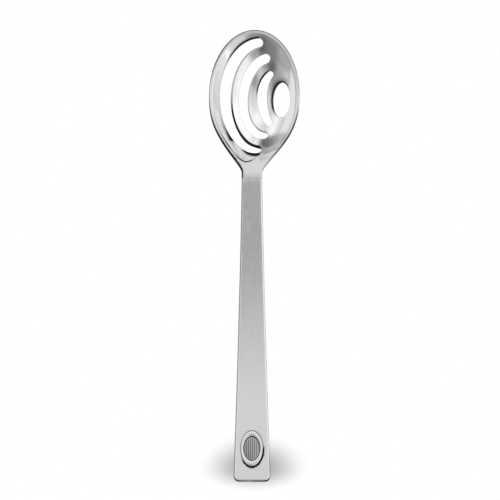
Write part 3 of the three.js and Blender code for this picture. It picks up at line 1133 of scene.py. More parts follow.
    def _tongue_side(self, side: float, ys: Points, lap: Points, under: Points) -> list[Points]:
        """Give the rows of one side of the tongue, with its lower edge eased.

        Args:
            side: 1 for the right side, -1 for the left one.
            ys: Places along the tongue.
            lap: Height of its upper face at these places.
            under: Height of its lower face.

        Returns:
            One row of points for each place.
        """
        half, ease = self.line.neck_half_width, self.under_ease
        strip = []
        for y, top_z, low_z in zip(ys, lap, under):
            points = [[side * half, y, top_z]]
            for angle in np.linspace(np.pi / 2, 0, self.under_rows):
                x = half - ease + ease * math.sin(angle)
                points.append([side * x, y, low_z + ease * (1 - math.cos(angle))])
            strip.append(np.array(points))
        return strip

    def dress(self) -> list[bpy.types.Object]:
        """Build the bowl and give it its finish and its place in the frame.

        Returns:
            The bowl, in a list.
        """
        piece = self.build()
        piece.data.materials.append(Finish.BOWL.value.build())
        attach(piece, "root")
        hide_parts("bowl")
        return [piece]


class Wiring:
    """Adds nodes to a node tree. Each input takes a socket or a plain value."""

    def __init__(self, tree: Tree) -> None:
        """Take the tree to add to."""
        self.tree = tree

    def node(self, kind: str, inputs: dict[str | int, object] | None = None,
             **settings: object) -> bpy.types.Node:
        """Add a node.

        Args:
            kind: Blender's name of the node type.
            inputs: A socket or a plain value for each input, by name or number.
            settings: Values of the node's own options.

        Returns:
            The node.
        """
        node = self.tree.nodes.new(kind)
        for name, value in settings.items():
            setattr(node, name, value)
        for name, value in (inputs or {}).items():
            self.feed(node.inputs[name], value)
        return node

    def feed(self, socket: Socket, value: object) -> None:
        """Link a socket or set a plain value.

        Args:
            socket: The input to feed.
            value: What to feed it.
        """
        if isinstance(value, Socket):
            self.tree.links.new(value, socket)
        else:
            socket.default_value = value

    def math(self, operation: str, *values: object) -> Socket:
        """Work out one number.

        Args:
            operation: Blender's name of the sum to do.
            values: A socket or a plain value for each input.

        Returns:
            The result's socket.
        """
        inputs = dict(enumerate(values))
        return self.node("ShaderNodeMath", inputs, operation=operation).outputs[0]

    def between(self, low: object, high: object, share: object) -> Socket:
        """Mix two numbers by a share."""
        return self.math("MULTIPLY_ADD", self.math("SUBTRACT", high, low), share, low)

    def rest(self, share: object) -> Socket:
        """Give what is left of 1."""
        return self.math("SUBTRACT", 1.0, share)

    def mapped(self, value: Socket, span: tuple[float, float], result: tuple[float, float],
               kind: str = "LINEAR") -> Socket:
        """Map a varying value from one range onto another.

        Args:
            value: The value.
            span: Range of the value, beyond which it is clipped.
            result: What the ends of that range become.
            kind: Blender's name of the course between the ends.

        Returns:
            The mapped value.
        """
        inputs = {"Value": value, "From Min": span[0], "From Max": span[1],
                  "To Min": result[0], "To Max": result[1]}
        return self.node("ShaderNodeMapRange", inputs, interpolation_type=kind).outputs["Result"]

    def seen_from(self, place: Socket, middle: tuple[float, ...], reach: tuple[float, ...]) -> Socket:
        """Count a place from a middle, in shares of a reach.

        Args:
            place: The place, in metres.
            middle: The middle in millimetres.
            reach: The length in millimetres that counts as 1, along each axis.

        Returns:
            The place as counted.
        """
        inputs = {"Vector": place, "Location": [MM * value for value in middle],
                  "Scale": [MM * value for value in reach]}
        return self.node("ShaderNodeMapping", inputs, vector_type="TEXTURE").outputs["Vector"]

    def length(self, vector: Socket) -> Socket:
        """Give a vector's length."""
        return self.node("ShaderNodeVectorMath", {0: vector}, operation="LENGTH").outputs["Value"]

    def group(self, group: Tree, **inputs: object) -> Socket:
        """Place a shader group, feed its inputs and give its one output."""
        return self.node("ShaderNodeGroup", inputs, node_tree=group).outputs[0]


def new_group(name: str, inputs: dict[str, str], output: str) -> tuple[Wiring, dict[str, Socket], Socket]:
    """Start a shader group.

    Args:
        name: Name of the group.
        inputs: The kind of each input, by name.
        output: Name of its one output, a number.

    Returns:
        What adds nodes to the group, the inputs' sockets by name, and the output's socket.
    """
    tree = bpy.data.node_groups.new(name, "ShaderNodeTree")
    for title, kind in inputs.items():
        tree.interface.new_socket(title, in_out="INPUT", socket_type="NodeSocket" + kind)
    tree.interface.new_socket(output, in_out="OUTPUT", socket_type="NodeSocketFloat")
    wiring = Wiring(tree)
    start, end = wiring.node("NodeGroupInput"), wiring.node("NodeGroupOutput")
    return wiring, {title: start.outputs[title] for title in inputs}, end.inputs[output]


def grain_group() -> Tree:
    """Give the shader group for a fine drawn-out grain, made once.

    Returns:
        The group, from a place to the grain's height.
    """
    name = "drawn grain"
    if name in bpy.data.node_groups:
        return bpy.data.node_groups[name]
    kinds = {"Place": "Vector", "Stretch": "Vector", "Fineness": "Float"}
    wiring, given, grain = new_group(name, kinds, "Grain")
    drawn = wiring.node("ShaderNodeVectorMath", {0: given["Place"], 1: given["Stretch"]},
                        operation="MULTIPLY")
    noise = wiring.node("ShaderNodeTexNoise", {
        "Vector": drawn.outputs[0], "Scale": given["Fineness"], "Detail": GRAIN_DETAIL,
        "Roughness": GRAIN_ROUGHNESS})
    wiring.feed(grain, noise.outputs["Fac"])
    return wiring.tree


def painted_shade_group() -> Tree:
    """Give the shader group that breaks up the painted shade a little, made once.

    Returns:
        The group, from a share and a place to a mask.
    """
    name = "dark polish"
    if name in bpy.data.node_groups:
        return bpy.data.node_groups[name]
    kinds = {"Share": "Float", "Place": "Vector", "Breakup": "Float"}
    wiring, given, mask = new_group(name, kinds, "Mask")
    noise = wiring.node("ShaderNodeTexNoise", {
        "Vector": given["Place"], "Scale": PAINTED_SHADE_SCALE, "Detail": PAINTED_SHADE_DETAIL})
    kept = wiring.rest(wiring.math("MULTIPLY", noise.outputs["Fac"], given["Breakup"]))
    strong = wiring.math("MULTIPLY", given["Share"], PAINTED_SHADE_GAIN)
    clipped = wiring.node("ShaderNodeMath", {0: strong, 1: kept}, operation="MULTIPLY", use_clamp=True)
    wiring.feed(mask, clipped.outputs[0])
    return wiring.tree


@dataclass(frozen=True)
class Steel:
    """A steel finish: its grey, its gloss, and how strongly its grain and its painted shade show."""

    name: str
    tone: float
    roughness: float
    stretch: tuple[float, float, float]
    fineness: float = 2600.0
    roughness_spread: float = 0.08
    cloud: float = 0.05
    bump: float = 0.06
    # Colour of the painted shade.
    painted_shade_tone: float = 0.015
    edge_tint: float = 0.45
    breakup: float = 0.25
    duller_middle: tuple[float, float, float] = (0.0, 0.0, 0.0)
    duller_reach: tuple[float, float, float] = (1.0, 1.0, 1.0)
    duller: float = 0.0
    cloud_fineness: float = 110.0
    cloud_span: tuple[float, float] = (0.3, 0.7)
    grain_span: tuple[float, float] = (0.25, 0.75)
    zone_span: tuple[float, float] = (0.5, 1.0)
    dark_roughness: float = 0.15
    bump_depth: float = 0.00002

    def build(self) -> bpy.types.Material:
        """Make the material.

        Returns:
            A metal whose grain, clouds and painted shade vary over the piece.
        """
        material = bpy.data.materials.new(self.name)
        material.use_nodes = True
        wiring = Wiring(material.node_tree)
        place = wiring.node("ShaderNodeTexCoord").outputs["Object"]
        grain = wiring.group(grain_group(), Place=place, Stretch=self.stretch, Fineness=self.fineness)
        cloud = wiring.group(grain_group(), Place=place, Stretch=(1, 1, 1), Fineness=self.cloud_fineness)
        # The mask paints shade into the colour: dark lines and patches that stand in for dark reflections
        # and shadows.
        share = wiring.node("ShaderNodeAttribute", attribute_name="worked").outputs["Fac"]
        mask = wiring.group(painted_shade_group(), Share=share, Place=place, Breakup=self.breakup)
        tones = (self.tone * (1 - self.cloud), self.tone * (1 + self.cloud))
        clean = wiring.mapped(cloud, self.cloud_span, tones)
        dark = (self.painted_shade_tone,) * 3 + (1,)
        # Inputs 6 and 7 of the mix are its two colours.
        colour = wiring.node("ShaderNodeMix", {0: mask, 6: clean, 7: dark}, data_type="RGBA")
        spread = self.roughness_spread
        gloss = wiring.mapped(grain, self.grain_span, (self.roughness - spread, self.roughness + spread))
        dull = wiring.math("MULTIPLY_ADD", mask, self.dark_roughness, gloss)
        roughness = wiring.math("ADD", dull, self._duller_zone(wiring, place))
        bump = wiring.node("ShaderNodeBump", {
            "Strength": self.bump, "Distance": self.bump_depth, "Height": grain})
        shader = material.node_tree.nodes["Principled BSDF"]
        inputs = {
            "Metallic": 1.0, "Specular Tint": (self.edge_tint,) * 3 + (1,),
            "Base Color": colour.outputs[2], "Roughness": roughness,
            "Normal": bump.outputs["Normal"]}
        for name, value in inputs.items():
            wiring.feed(shader.inputs[name], value)
        return material

    def _duller_zone(self, wiring: Wiring, place: Socket) -> Socket:
        """Give the added roughness of the zone that is to mirror its surroundings less.

        Args:
            wiring: Adds the nodes.
            place: Object coordinates.

        Returns:
            The added roughness, fading to 0 at the zone's edge.
        """
        away = wiring.length(wiring.seen_from(place, self.duller_middle, self.duller_reach))
        return wiring.mapped(away, self.zone_span, (self.duller, 0.0))


class Finish(Enum):
    """The finishes of the spoon's pieces."""

    BOWL = Steel(
        "polished bowl steel", tone=0.90, roughness=0.13, stretch=(1.0, 0.25, 1.0),
        roughness_spread=0.03, cloud=0.02, bump=0.04,
        duller_middle=(-11.0, 54.5, 6.0), duller_reach=(3.6, 11.0, 6.0), duller=0.3)
    HANDLE = Steel(
        "satin handle steel", tone=0.85, roughness=0.22, stretch=(1.0, 0.03, 1.0),
        roughness_spread=0.05, cloud=0.02, bump=0.06)
    RING = Steel(
        "bright ring steel", tone=0.84, roughness=0.16, stretch=(1.0, 1.0, 1.0),
        roughness_spread=0.04, bump=0.06)
    PLAQUE = Steel(
        "darkened plaque steel", tone=0.52, roughness=0.3, stretch=(1.0, 0.2, 1.0),
        roughness_spread=0.08, cloud=0.08, bump=0.15)


# Marks on the handle's eased edges and the recess's rim, which become painted shade.
EASE_MARKS = [0, 0, 0.2, 0.5, 0.8, 1, 1, 1, 1, 1]
RECESS_MARKS = [0, 0.5, 1, 1, 1]


@dataclass
class Handle:
    """The flat tapered handle with its square end, its oval recess and the lap over the tongue."""

    line: SpoonLine
    end_half_width: float = 5.65
    corner_radius: float = 1.7
    taper_power: float = 1.25
    recess_y: float = 9.9
    recess_half_x: float = 3.55
    recess_half_y: float = 5.67
    recess_depth: float = 0.7
    edge_ease: float = 0.5
    recess_ease: float = 0.08
    spacing: float = 0.42
    ease_rows: int = 9
    lap_points: int = 24
    side_points: int = 200
    corner_points: int = 14
    end_points: int = 26
    across_points: int = 14
    recess_points: int = 96
    recess_rows: int = 4
    clear_of_end: float = 0.25
    clear_of_seam: float = 0.3
    clear_of_side: float = 0.2
    past_side: float = 0.05
    clear_of_step: float = 0.15
    clear_of_recess: float = 0.3
    clear_of_border: float = 0.2
    # Shares of painted shade: dark reflections along the eased edges, more on the left, at the end and
    # its corners, and a painted shadow in the groove round the recess, darkest towards the lower right.
    left_share: float = 0.55
    right_share: float = 0.35
    right_near_end: Fade = Fade(12.0, -9.0, 0.4)
    end_share: float = 0.55
    near_end: Fade = Fade(1.6, -1.2)
    right_corner: Fade = Fade(2.8, 1.5, 0.45)
    left_corner: Fade = Fade(-1.5, -2.5, 0.22)
    groove_share: float = 0.1
    groove_degrees: float = -62.0
    groove_shade: Fade = Fade(0.1, 0.5, 0.9)
    groove_reach: float = 1.03

    def recess(self, grown: float = 0.0) -> Oval:
        """Give the recess's oval in plan, grown all round by an amount."""
        return Oval(0.0, self.recess_y, self.recess_half_x + grown, self.recess_half_y + grown)

    def half_width(self, y: Points) -> Points:
        """Half width of the handle, with the end's rounded corners.

        Args:
            y: Places along the handle.

        Returns:
            The half width at each place.
        """
        line = self.line
        away = np.clip(line.handle_length - y, 0, None) / line.handle_length
        growth = self.end_half_width - line.neck_half_width
        half = line.neck_half_width + growth * away**self.taper_power
        into = np.clip(self.corner_radius - y, 0, self.corner_radius)
        return half - self.corner_radius + np.sqrt(self.corner_radius**2 - into**2)

    def outline(self) -> Points:
        """Give the outline in plan from the seam's left round the end to its right.

        Returns:
            Rows of x, y, anticlockwise.
        """
        radius = self.corner_radius
        seam = self.line.handle_length - self.line.seam_gap
        lap = self.line.tongue_end
        over_tongue = np.linspace(seam, lap, self.lap_points)[:-1]
        straight = np.linspace(lap, radius, self.side_points)[:-1]
        turn = np.linspace(0, np.pi / 2, self.corner_points)
        ys = np.concatenate([over_tongue, straight, radius * (1 - np.sin(turn))])
        left = np.stack([-self.half_width(ys), ys], axis=1)
        flat = np.linspace(left[-1, 0], -left[-1, 0], self.end_points)[1:-1]
        end = np.stack([flat, np.zeros(len(flat))], axis=1)
        return np.concatenate([left, end, left[::-1] * np.array([-1, 1])])

    def build(self) -> bpy.types.Object:
        """Make the handle's mesh.

        Returns:
            The handle's object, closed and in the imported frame.
        """
        line, ease = self.line, self.edge_ease
        work = Patchwork()
        edge = self.outline()
        normal = outward_normals(edge, closed=False)
        normal[[0, -1]] = [[-1, 0], [1, 0]]
        inner = edge - normal * ease
        in_lap = edge[:, 1] > line.tongue_end + SAME_PLACE
        top = line.top(inner[:, 1])
        low = line.underside(inner[:, 1])
        lap = self._lap(inner[:, 1])
        rows = []
        for angle in np.linspace(0, np.pi / 2, self.ease_rows):
            plan = inner + normal * ease * math.sin(angle)
            rows.append(np.column_stack([plan, top - ease * (1 - math.cos(angle))]))
        rows.append(np.column_stack([edge, lap]))
        work.add_band(rows, closed=False, marks=EASE_MARKS)
        first, last = np.flatnonzero(~in_lap)[[0, -1]]
        body = slice(first, last + 1)
        under = [rows[-1][body]]
        for angle in np.linspace(np.pi / 2, 0, self.ease_rows):
            plan = (inner + normal * ease * math.sin(angle))[body]
            under.append(np.column_stack([plan, low[body] + ease * (1 - math.cos(angle))]))
        work.add_band(under, closed=False, marks=EASE_MARKS[::-1])
        hole = self._add_recess(work)
        self._add_faces(work, inner, hole, body, under, rows)
        return work.finish("spoon_handle", line.place, shade=self.darkened)

    def darkened(self, points: Points, marks: Points) -> Points:
        """Work the marks of the eased edges over into shares of painted shade.

        Args:
            points: All the handle's points, from its end.
            marks: 1 on an eased edge, 0 on a face.

        Returns:
            0 for no painted shade to 1 for black.
        """
        marks = strongest_marks(points, marks)
        x, y, _ = points.T
        side = np.where(x < 0, self.left_share, self.right_share + self.right_near_end.at(y))
        corners = self.right_corner.at(x) + self.left_corner.at(x)
        end = self.near_end.at(y) * (self.end_share + corners)
        shares = marks * np.maximum(side, end)
        # Painted shadow in the groove round the recess, darkest towards the lower right.
        turn = np.arctan2(y - self.recess_y, x) - math.radians(self.groove_degrees)
        groove = self.groove_share + self.groove_shade.at(np.cos(turn))
        return np.where(self.recess().away(x, y) < self.groove_reach, groove, shares)

    def _lap(self, y: Points) -> Points:
        """Height of the handle's underside over the tongue."""
        return self.line.top(y) - (self.line.thickness(y) - self.line.solder_gap) / 2

    def _add_recess(self, work: Patchwork) -> Points:
        """Add the oval recess for the medallion.

        Args:
            work: Gathers the faces.

        Returns:
            The recess's border in plan.
        """
        angle = np.linspace(0, 2 * np.pi, self.recess_points, endpoint=False)
        way = np.stack([np.cos(angle), np.sin(angle)], axis=1)
        size = np.array([self.recess_half_x, self.recess_half_y])
        centre = np.array([0, self.recess_y])
        top = self.line.end_thickness
        rows = []
        for turn in np.linspace(0, np.pi / 2, self.recess_rows):
            grown = size + self.recess_ease * (1 - math.sin(turn))
            z = top - self.recess_ease * (1 - math.cos(turn))
            rows.append(np.column_stack([centre + way * grown, np.full(len(way), z)]))
        floor = top - self.recess_depth
        rows.append(np.column_stack([centre + way * size, np.full(len(way), floor)]))
        work.add_band(rows, closed=True, marks=RECESS_MARKS)
        work.add_face(rows[-1])
        return rows[0][:, :2]

    def _add_faces(self, work: Patchwork, inner: Points, hole: Points, body: slice,
                   under: list[Points], rows: list[Points]) -> None:
        """Add the top, the underside, the lap's underside and the faces at its two ends.

        Args:
            work: Gathers the faces.
            inner: Border of the top face in plan.
            hole: Border of the recess in plan.
            body: Which points of the outline lie clear of the lap.
            under: Rows of the lower edge.
            rows: Rows of the upper edge and the side.
        """
        line = self.line
        fill = self._fill(inner, hole)
        seam = self._across(inner[-1], inner[0])
        top = [np.concatenate([inner, seam]), hole]
        work.add_sheet(top, fill, lambda x, y: line.top(y), up=True)
        base = inner[body]
        step = self._across(base[-1], base[0])
        plan = fill[fill[:, 1] < line.tongue_end - self.clear_of_step]
        below = [np.concatenate([base, step])]
        work.add_sheet(below, plan, lambda x, y: line.underside(y), up=False)
        side = rows[-1]
        laps = [self._row(side[i], side[-1 - i]) for i in range(body.start + 1)]
        work.add_band(laps, closed=False)
        step_rim = np.column_stack([step, line.underside(step[:, 1])])
        right = np.array([row[-1] for row in under[1:]])
        left = np.array([row[0] for row in under[1:]])
        work.add_face(np.concatenate([laps[-1], right, step_rim, left[::-1]]))
        seam_rim = np.column_stack([seam, line.top(seam[:, 1])])
        right = np.array([row[-1] for row in rows])
        left = np.array([row[0] for row in rows])
        work.add_face(np.concatenate([laps[0][1:-1], right[::-1], seam_rim, left]))

    def _row(self, first: Points, last: Points) -> Points:
        """Give a straight row of points between two ends, both taken."""
        share = np.linspace(0, 1, self.across_points)[:, None]
        return first + (last - first) * share

    def _across(self, first: Points, last: Points) -> Points:
        """Give the points between two ends, without the ends."""
        return self._row(first, last)[1:-1]

    def _fill(self, inner: Points, hole: Points) -> Points:
        """Spread staggered points over the top face.

        Args:
            inner: The face's border in plan.
            hole: The recess's border in plan.

        Returns:
            Rows of x, y, clear of both borders.
        """
        end = self.line.handle_length - self.clear_of_seam
        points = []
        for i, y in enumerate(np.arange(self.edge_ease + self.clear_of_end, end, self.spacing)):
            half = float(self.half_width(np.array(y))) - self.edge_ease - self.clear_of_side
            shift = self.spacing / 4 * (1 if i % 2 else -1)
            xs = np.linspace(-half, half, int(2 * half / self.spacing)) + shift
            points += [(x, y) for x in xs if abs(x) < half + self.past_side]
        points = np.array(points)
        points = points[self.recess(self.clear_of_recess).away(*points.T) > 1]
        return clear_of(points, np.concatenate([inner, hole]), self.clear_of_border)

    def dress(self) -> list[bpy.types.Object]:
        """Build the handle and give it its finish and its place in the frame.

        Returns:
            The handle, in a list.
        """
        piece = self.build()
        piece.data.materials.append(Finish.HANDLE.value.build())
        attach(piece, "root")
        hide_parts("handle")
        return [piece]


class Recipe(Wiring):
    """A geometry node tree with named sizes, run once and kept as a plain mesh."""

    def __init__(self, name: str) -> None:
        """Start an empty tree.

        Args:
            name: Name of the piece that the tree makes.
        """
        super().__init__(bpy.data.node_groups.new(name, "GeometryNodeTree"))
        self.name = name
        self.tree.interface.new_socket("Geometry", in_out="OUTPUT", socket_type="NodeSocketGeometry")
        self.start = self.node("NodeGroupInput")
        self.sizes: dict[str, float] = {}

    def size(self, name: str, value: float) -> Socket:
        """Add a named size to the tree.

        Args:
            name: What the size is.
            value: Its value in millimetres.

        Returns:
            The socket that gives the size inside the tree, in metres.
        """
        socket = self.tree.interface.new_socket(name, in_out="INPUT", socket_type="NodeSocketFloat")
        self.sizes[socket.identifier] = value * MM
        return self.start.outputs[name]

    def halves(self, kind: str, size: tuple[float, float]) -> list[Socket]:
        """Add a half width and a half length to the tree."""
        names = (f"{kind} half width", f"{kind} half length")
        return [self.size(name, value) for name, value in zip(names, size)]

    def bake(self, shape: Socket, material: bpy.types.Material) -> bpy.types.Object:
        """Finish the tree, run it once and keep the result.

        Args:
            shape: The geometry that the tree ends with.
            material: The piece's finish.

        Returns:
            A plain mesh object without modifiers.
        """
        smooth = self.node("GeometryNodeSetShadeSmooth", {"Geometry": shape})
        real = self.node("GeometryNodeRealizeInstances", {"Geometry": smooth.outputs[0]})
        dressed = self.node("GeometryNodeSetMaterial",
                            {"Geometry": real.outputs[0], "Material": material})
        self.node("NodeGroupOutput", {"Geometry": dressed.outputs[0]})
        maker = bpy.data.objects.new(self.name, bpy.data.meshes.new(self.name))
        bpy.context.scene.collection.objects.link(maker)
        modifier = maker.modifiers.new(self.name, "NODES")
        modifier.node_group = self.tree
        for identifier, value in self.sizes.items():
            modifier[identifier] = value
        ready = maker.evaluated_get(bpy.context.evaluated_depsgraph_get())
        data = bpy.data.meshes.new_from_object(ready)
        bpy.data.objects.remove(maker)
        data.name = self.name
        piece = bpy.data.objects.new(self.name, data)
        bpy.context.scene.collection.objects.link(piece)
        return piece


@dataclass
class Medallion:
    """The oval ring and the reeded plaque set in the handle's recess."""

    handle: Handle
    clearance: float = 0.12
    shift: tuple[float, float] = (-0.09, 0.1)
    ring_shrink: float = 0.1
    ring_inner: tuple[float, float] = (2.56, 3.83)
    wall: float = 0.95
    crown: float = 0.25
    plaque_edge: float = 0.7
    dome: float = 0.35
    reed_pitch: float = 0.61
    reed_height: float = 0.07
    around: int = 200
    profile_size: float = 0.2
    profile_cuts: int = 11
    crown_power: float = 3.0
    open_power: float = 0.8
    # Strengths of painted shade on the ring's sides and foot, in the plaque's hollows between the reeds
    # and at its border.
    groove_shade: float = 0.5
    side_cuts: int = 3
    face_cuts: int = 36
    field_power: float = 9.0
    border_power: float = 14.0
    border_shade: float = 0.55
    flute_shade: float = 0.9
    sharp: float = 50.0

    @property
    def ring_outer(self) -> tuple[float, float]:
        """Half width and half length of the ring, inside the recess."""
        shrink = self.clearance + self.ring_shrink
        return (self.handle.recess_half_x - shrink, self.handle.recess_half_y - shrink)

    @property
    def plaque_half(self) -> tuple[float, float]:
        """Half width and half length of the plaque, inside the ring."""
        return (self.ring_inner[0] - self.clearance, self.ring_inner[1] - self.clearance)

    def _polar(self, recipe: Recipe) -> tuple[Socket, Socket, Socket, Socket]:
        """Read each point's place.

        Args:
            recipe: The tree to add to.

        Returns:
            The distance from the middle in plan, then x, y and z.
        """
        position = recipe.node("GeometryNodeInputPosition").outputs[0]
        x, y, z = recipe.node("ShaderNodeSeparateXYZ", {"Vector": position}).outputs
        squares = recipe.math("ADD", recipe.math("MULTIPLY", x, x), recipe.math("MULTIPLY", y, y))
        return recipe.math("SQRT", squares), x, y, z

    def _shaped(self, recipe: Recipe, mesh: Socket, place: tuple[Socket, ...],
                worked: Socket) -> Socket:
        """Store the mask of painted shade, then move each point to its place.

        Args:
            recipe: The tree to add to.
            mesh: The mesh to shape.
            place: The x, y and z that each point gets.
            worked: The mask of painted shade, 0 for none to 1 for black.

        Returns:
            The shaped mesh.
        """
        mask = {"Geometry": mesh, "Name": "worked", "Value": worked}
        stored = recipe.node("GeometryNodeStoreNamedAttribute", mask, data_type="FLOAT", domain="POINT")
        target = recipe.node("ShaderNodeCombineXYZ", dict(zip("XYZ", place)))
        moved = recipe.node("GeometryNodeSetPosition",
                            {"Geometry": stored.outputs[0], "Position": target.outputs[0]})
        return moved.outputs[0]

    def _swept(self, recipe: Recipe) -> Socket:
        """Sweep a small square round a circle of radius 1.

        Args:
            recipe: The tree to add to.

        Returns:
            The mesh, which the ring is shaped from.
        """
        side = self.profile_size
        path = recipe.node("GeometryNodeCurvePrimitiveCircle", {"Resolution": self.around, "Radius": 1.0})
        section = recipe.node("GeometryNodeCurvePrimitiveQuadrilateral", {"Width": side, "Height": side})
        cuts = {"Curve": section.outputs[0], "Cuts": self.profile_cuts}
        fine = recipe.node("GeometryNodeSubdivideCurve", cuts)
        curves = {"Curve": path.outputs[0], "Profile Curve": fine.outputs[0]}
        return recipe.node("GeometryNodeCurveToMesh", curves).outputs[0]

    def ring(self) -> bpy.types.Object:
        """Sweep the ring's crowned section round its oval.

        Returns:
            The ring, about its own middle.
        """
        recipe = Recipe("spoon_ring")
        math_node = recipe.math
        inner = recipe.halves("Inner", self.ring_inner)
        outer = recipe.halves("Outer", self.ring_outer)
        wall = recipe.size("Wall", self.wall)
        crown = recipe.size("Crown", self.crown)
        side = self.profile_size
        swept = self._swept(recipe)
        distance, x, y, z = self._polar(recipe)
        across = math_node("DIVIDE", math_node("SUBTRACT", distance, 1 - side / 2), side)
        up = math_node("DIVIDE", math_node("ADD", z, side / 2), side)
        turn = math_node("COSINE", math_node("MULTIPLY", across, math.pi))
        share = math_node("MULTIPLY_ADD", turn, -0.5, 0.5)
        off = math_node("ABSOLUTE", math_node("MULTIPLY_ADD", share, 2.0, -1.0))
        left = recipe.rest(math_node("POWER", off, self.crown_power))
        bulge = math_node("SQRT", math_node("MAXIMUM", left, 0.0))
        height = math_node("MULTIPLY", up, math_node("MULTIPLY_ADD", crown, bulge, wall))
        halves = [recipe.between(low, high, share) for low, high in zip(inner, outer)]
        place = [math_node("MULTIPLY", math_node("DIVIDE", way, distance), half)
                 for way, half in zip((x, y), halves)]
        # Painted shade down the ring's sides to its foot, where the grooves round it lie in shade.
        open_face = math_node("POWER", math_node("MINIMUM", bulge, up), self.open_power)
        worked = math_node("MULTIPLY_ADD", open_face, -self.groove_shade, self.groove_shade)
        shape = self._shaped(recipe, swept, (*place, height), worked)
        return recipe.bake(shape, Finish.RING.value.build())

    def plaque(self) -> bpy.types.Object:
        """Raise the plaque's dome and its reeds on a round blank.

        Returns:
            The plaque, about its own middle.
        """
        recipe = Recipe("spoon_plaque")
        math_node = recipe.math
        half = recipe.halves("Plaque", self.plaque_half)
        edge = recipe.size("Edge height", self.plaque_edge)
        dome = recipe.size("Dome", self.dome)
        pitch = recipe.size("Reed pitch", self.reed_pitch)
        reed = recipe.size("Reed height", self.reed_height)
        form = {"Vertices": self.around, "Side Segments": self.side_cuts,
                "Fill Segments": self.face_cuts, "Radius": 1.0, "Depth": 1.0}
        blank = recipe.node("GeometryNodeMeshCylinder", form, fill_type="TRIANGLE_FAN")
        distance, x, y, z = self._polar(recipe)
        place = [math_node("MULTIPLY", way, size) for way, size in zip((x, y), half)]
        up = math_node("ADD", z, 0.5)
        turn = math_node("MULTIPLY", math_node("DIVIDE", place[0], pitch), math.pi)
        wave = math_node("ABSOLUTE", math_node("COSINE", turn))
        field = recipe.rest(math_node("POWER", distance, self.field_power))
        rise = math_node("MULTIPLY", dome, recipe.rest(math_node("MULTIPLY", distance, distance)))
        reeds = math_node("MULTIPLY", reed, math_node("MULTIPLY", wave, field))
        total = math_node("ADD", edge, math_node("ADD", rise, reeds))
        height = math_node("MULTIPLY", up, total)
        # Painted shade in the hollows between the reeds and at the plaque's border.
        flutes = math_node("MULTIPLY", recipe.rest(wave), field)
        near_border = math_node("POWER", distance, self.border_power)
        border = math_node("MULTIPLY", near_border, self.border_shade)
        worked = math_node("MULTIPLY", math_node("MAXIMUM", flutes, border), self.flute_shade)
        shape = self._shaped(recipe, blank.outputs["Mesh"], (*place, height), worked)
        return recipe.bake(shape, Finish.PLAQUE.value.build())

    def _seat(self, piece: bpy.types.Object) -> None:
        """Move the mesh onto the recess's floor and make its faces look outward.

        Args:
            piece: The ring or the plaque, about its own middle.
        """
        handle = self.handle
        floor = handle.line.end_thickness - handle.recess_depth
        middle = np.array([[self.shift[0], handle.recess_y + self.shift[1], floor]])
        seat = handle.line.place(middle)[0] * MM
        mesh = bmesh.new()
        mesh.from_mesh(piece.data)
        bmesh.ops.translate(mesh, verts=mesh.verts, vec=Vector(seat))
        bmesh.ops.recalc_face_normals(mesh, faces=mesh.faces)
        sharp = math.radians(self.sharp)
        for edge in mesh.edges:
            edge.smooth = not (edge.is_manifold and edge.calc_face_angle() > sharp)
        mesh.to_mesh(piece.data)
        mesh.free()

    def dress(self) -> list[bpy.types.Object]:
        """Build ring and plaque and give them their places in the frame.

        Returns:
            The ring and the plaque.
        """
        parts = ((self.ring, "medallion_bezel", Slot.RING),
                 (self.plaque, "medallion_plaque", Slot.PLAQUE))
        pieces = []
        for make, node, slot in parts:
            piece = make()
            self._seat(piece)
            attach(piece, "root")
            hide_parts(node)
            pieces.append(piece)
        return pieces


@dataclass(frozen=True)
class LightRing:
    """Broad patches of light or shade at one height in the studio, as seen from the spoon.

    The strengths go by azimuth, counted from +Y towards +X. A patch below 0 is a dark one.
    """

    polar: float
    spread: float
    strengths: dict[int, float]

    def axis(self, azimuth: float) -> tuple[float, float, float]:
        """Direction to a patch's middle.

        Args:
            azimuth: Where on the ring the patch lies, in degrees.

        Returns:
            The direction, of length 1.
        """
        turn, polar = math.radians(azimuth), math.radians(self.polar)
        return (math.sin(polar) * math.sin(turn), math.sin(polar) * math.cos(turn), math.cos(polar))


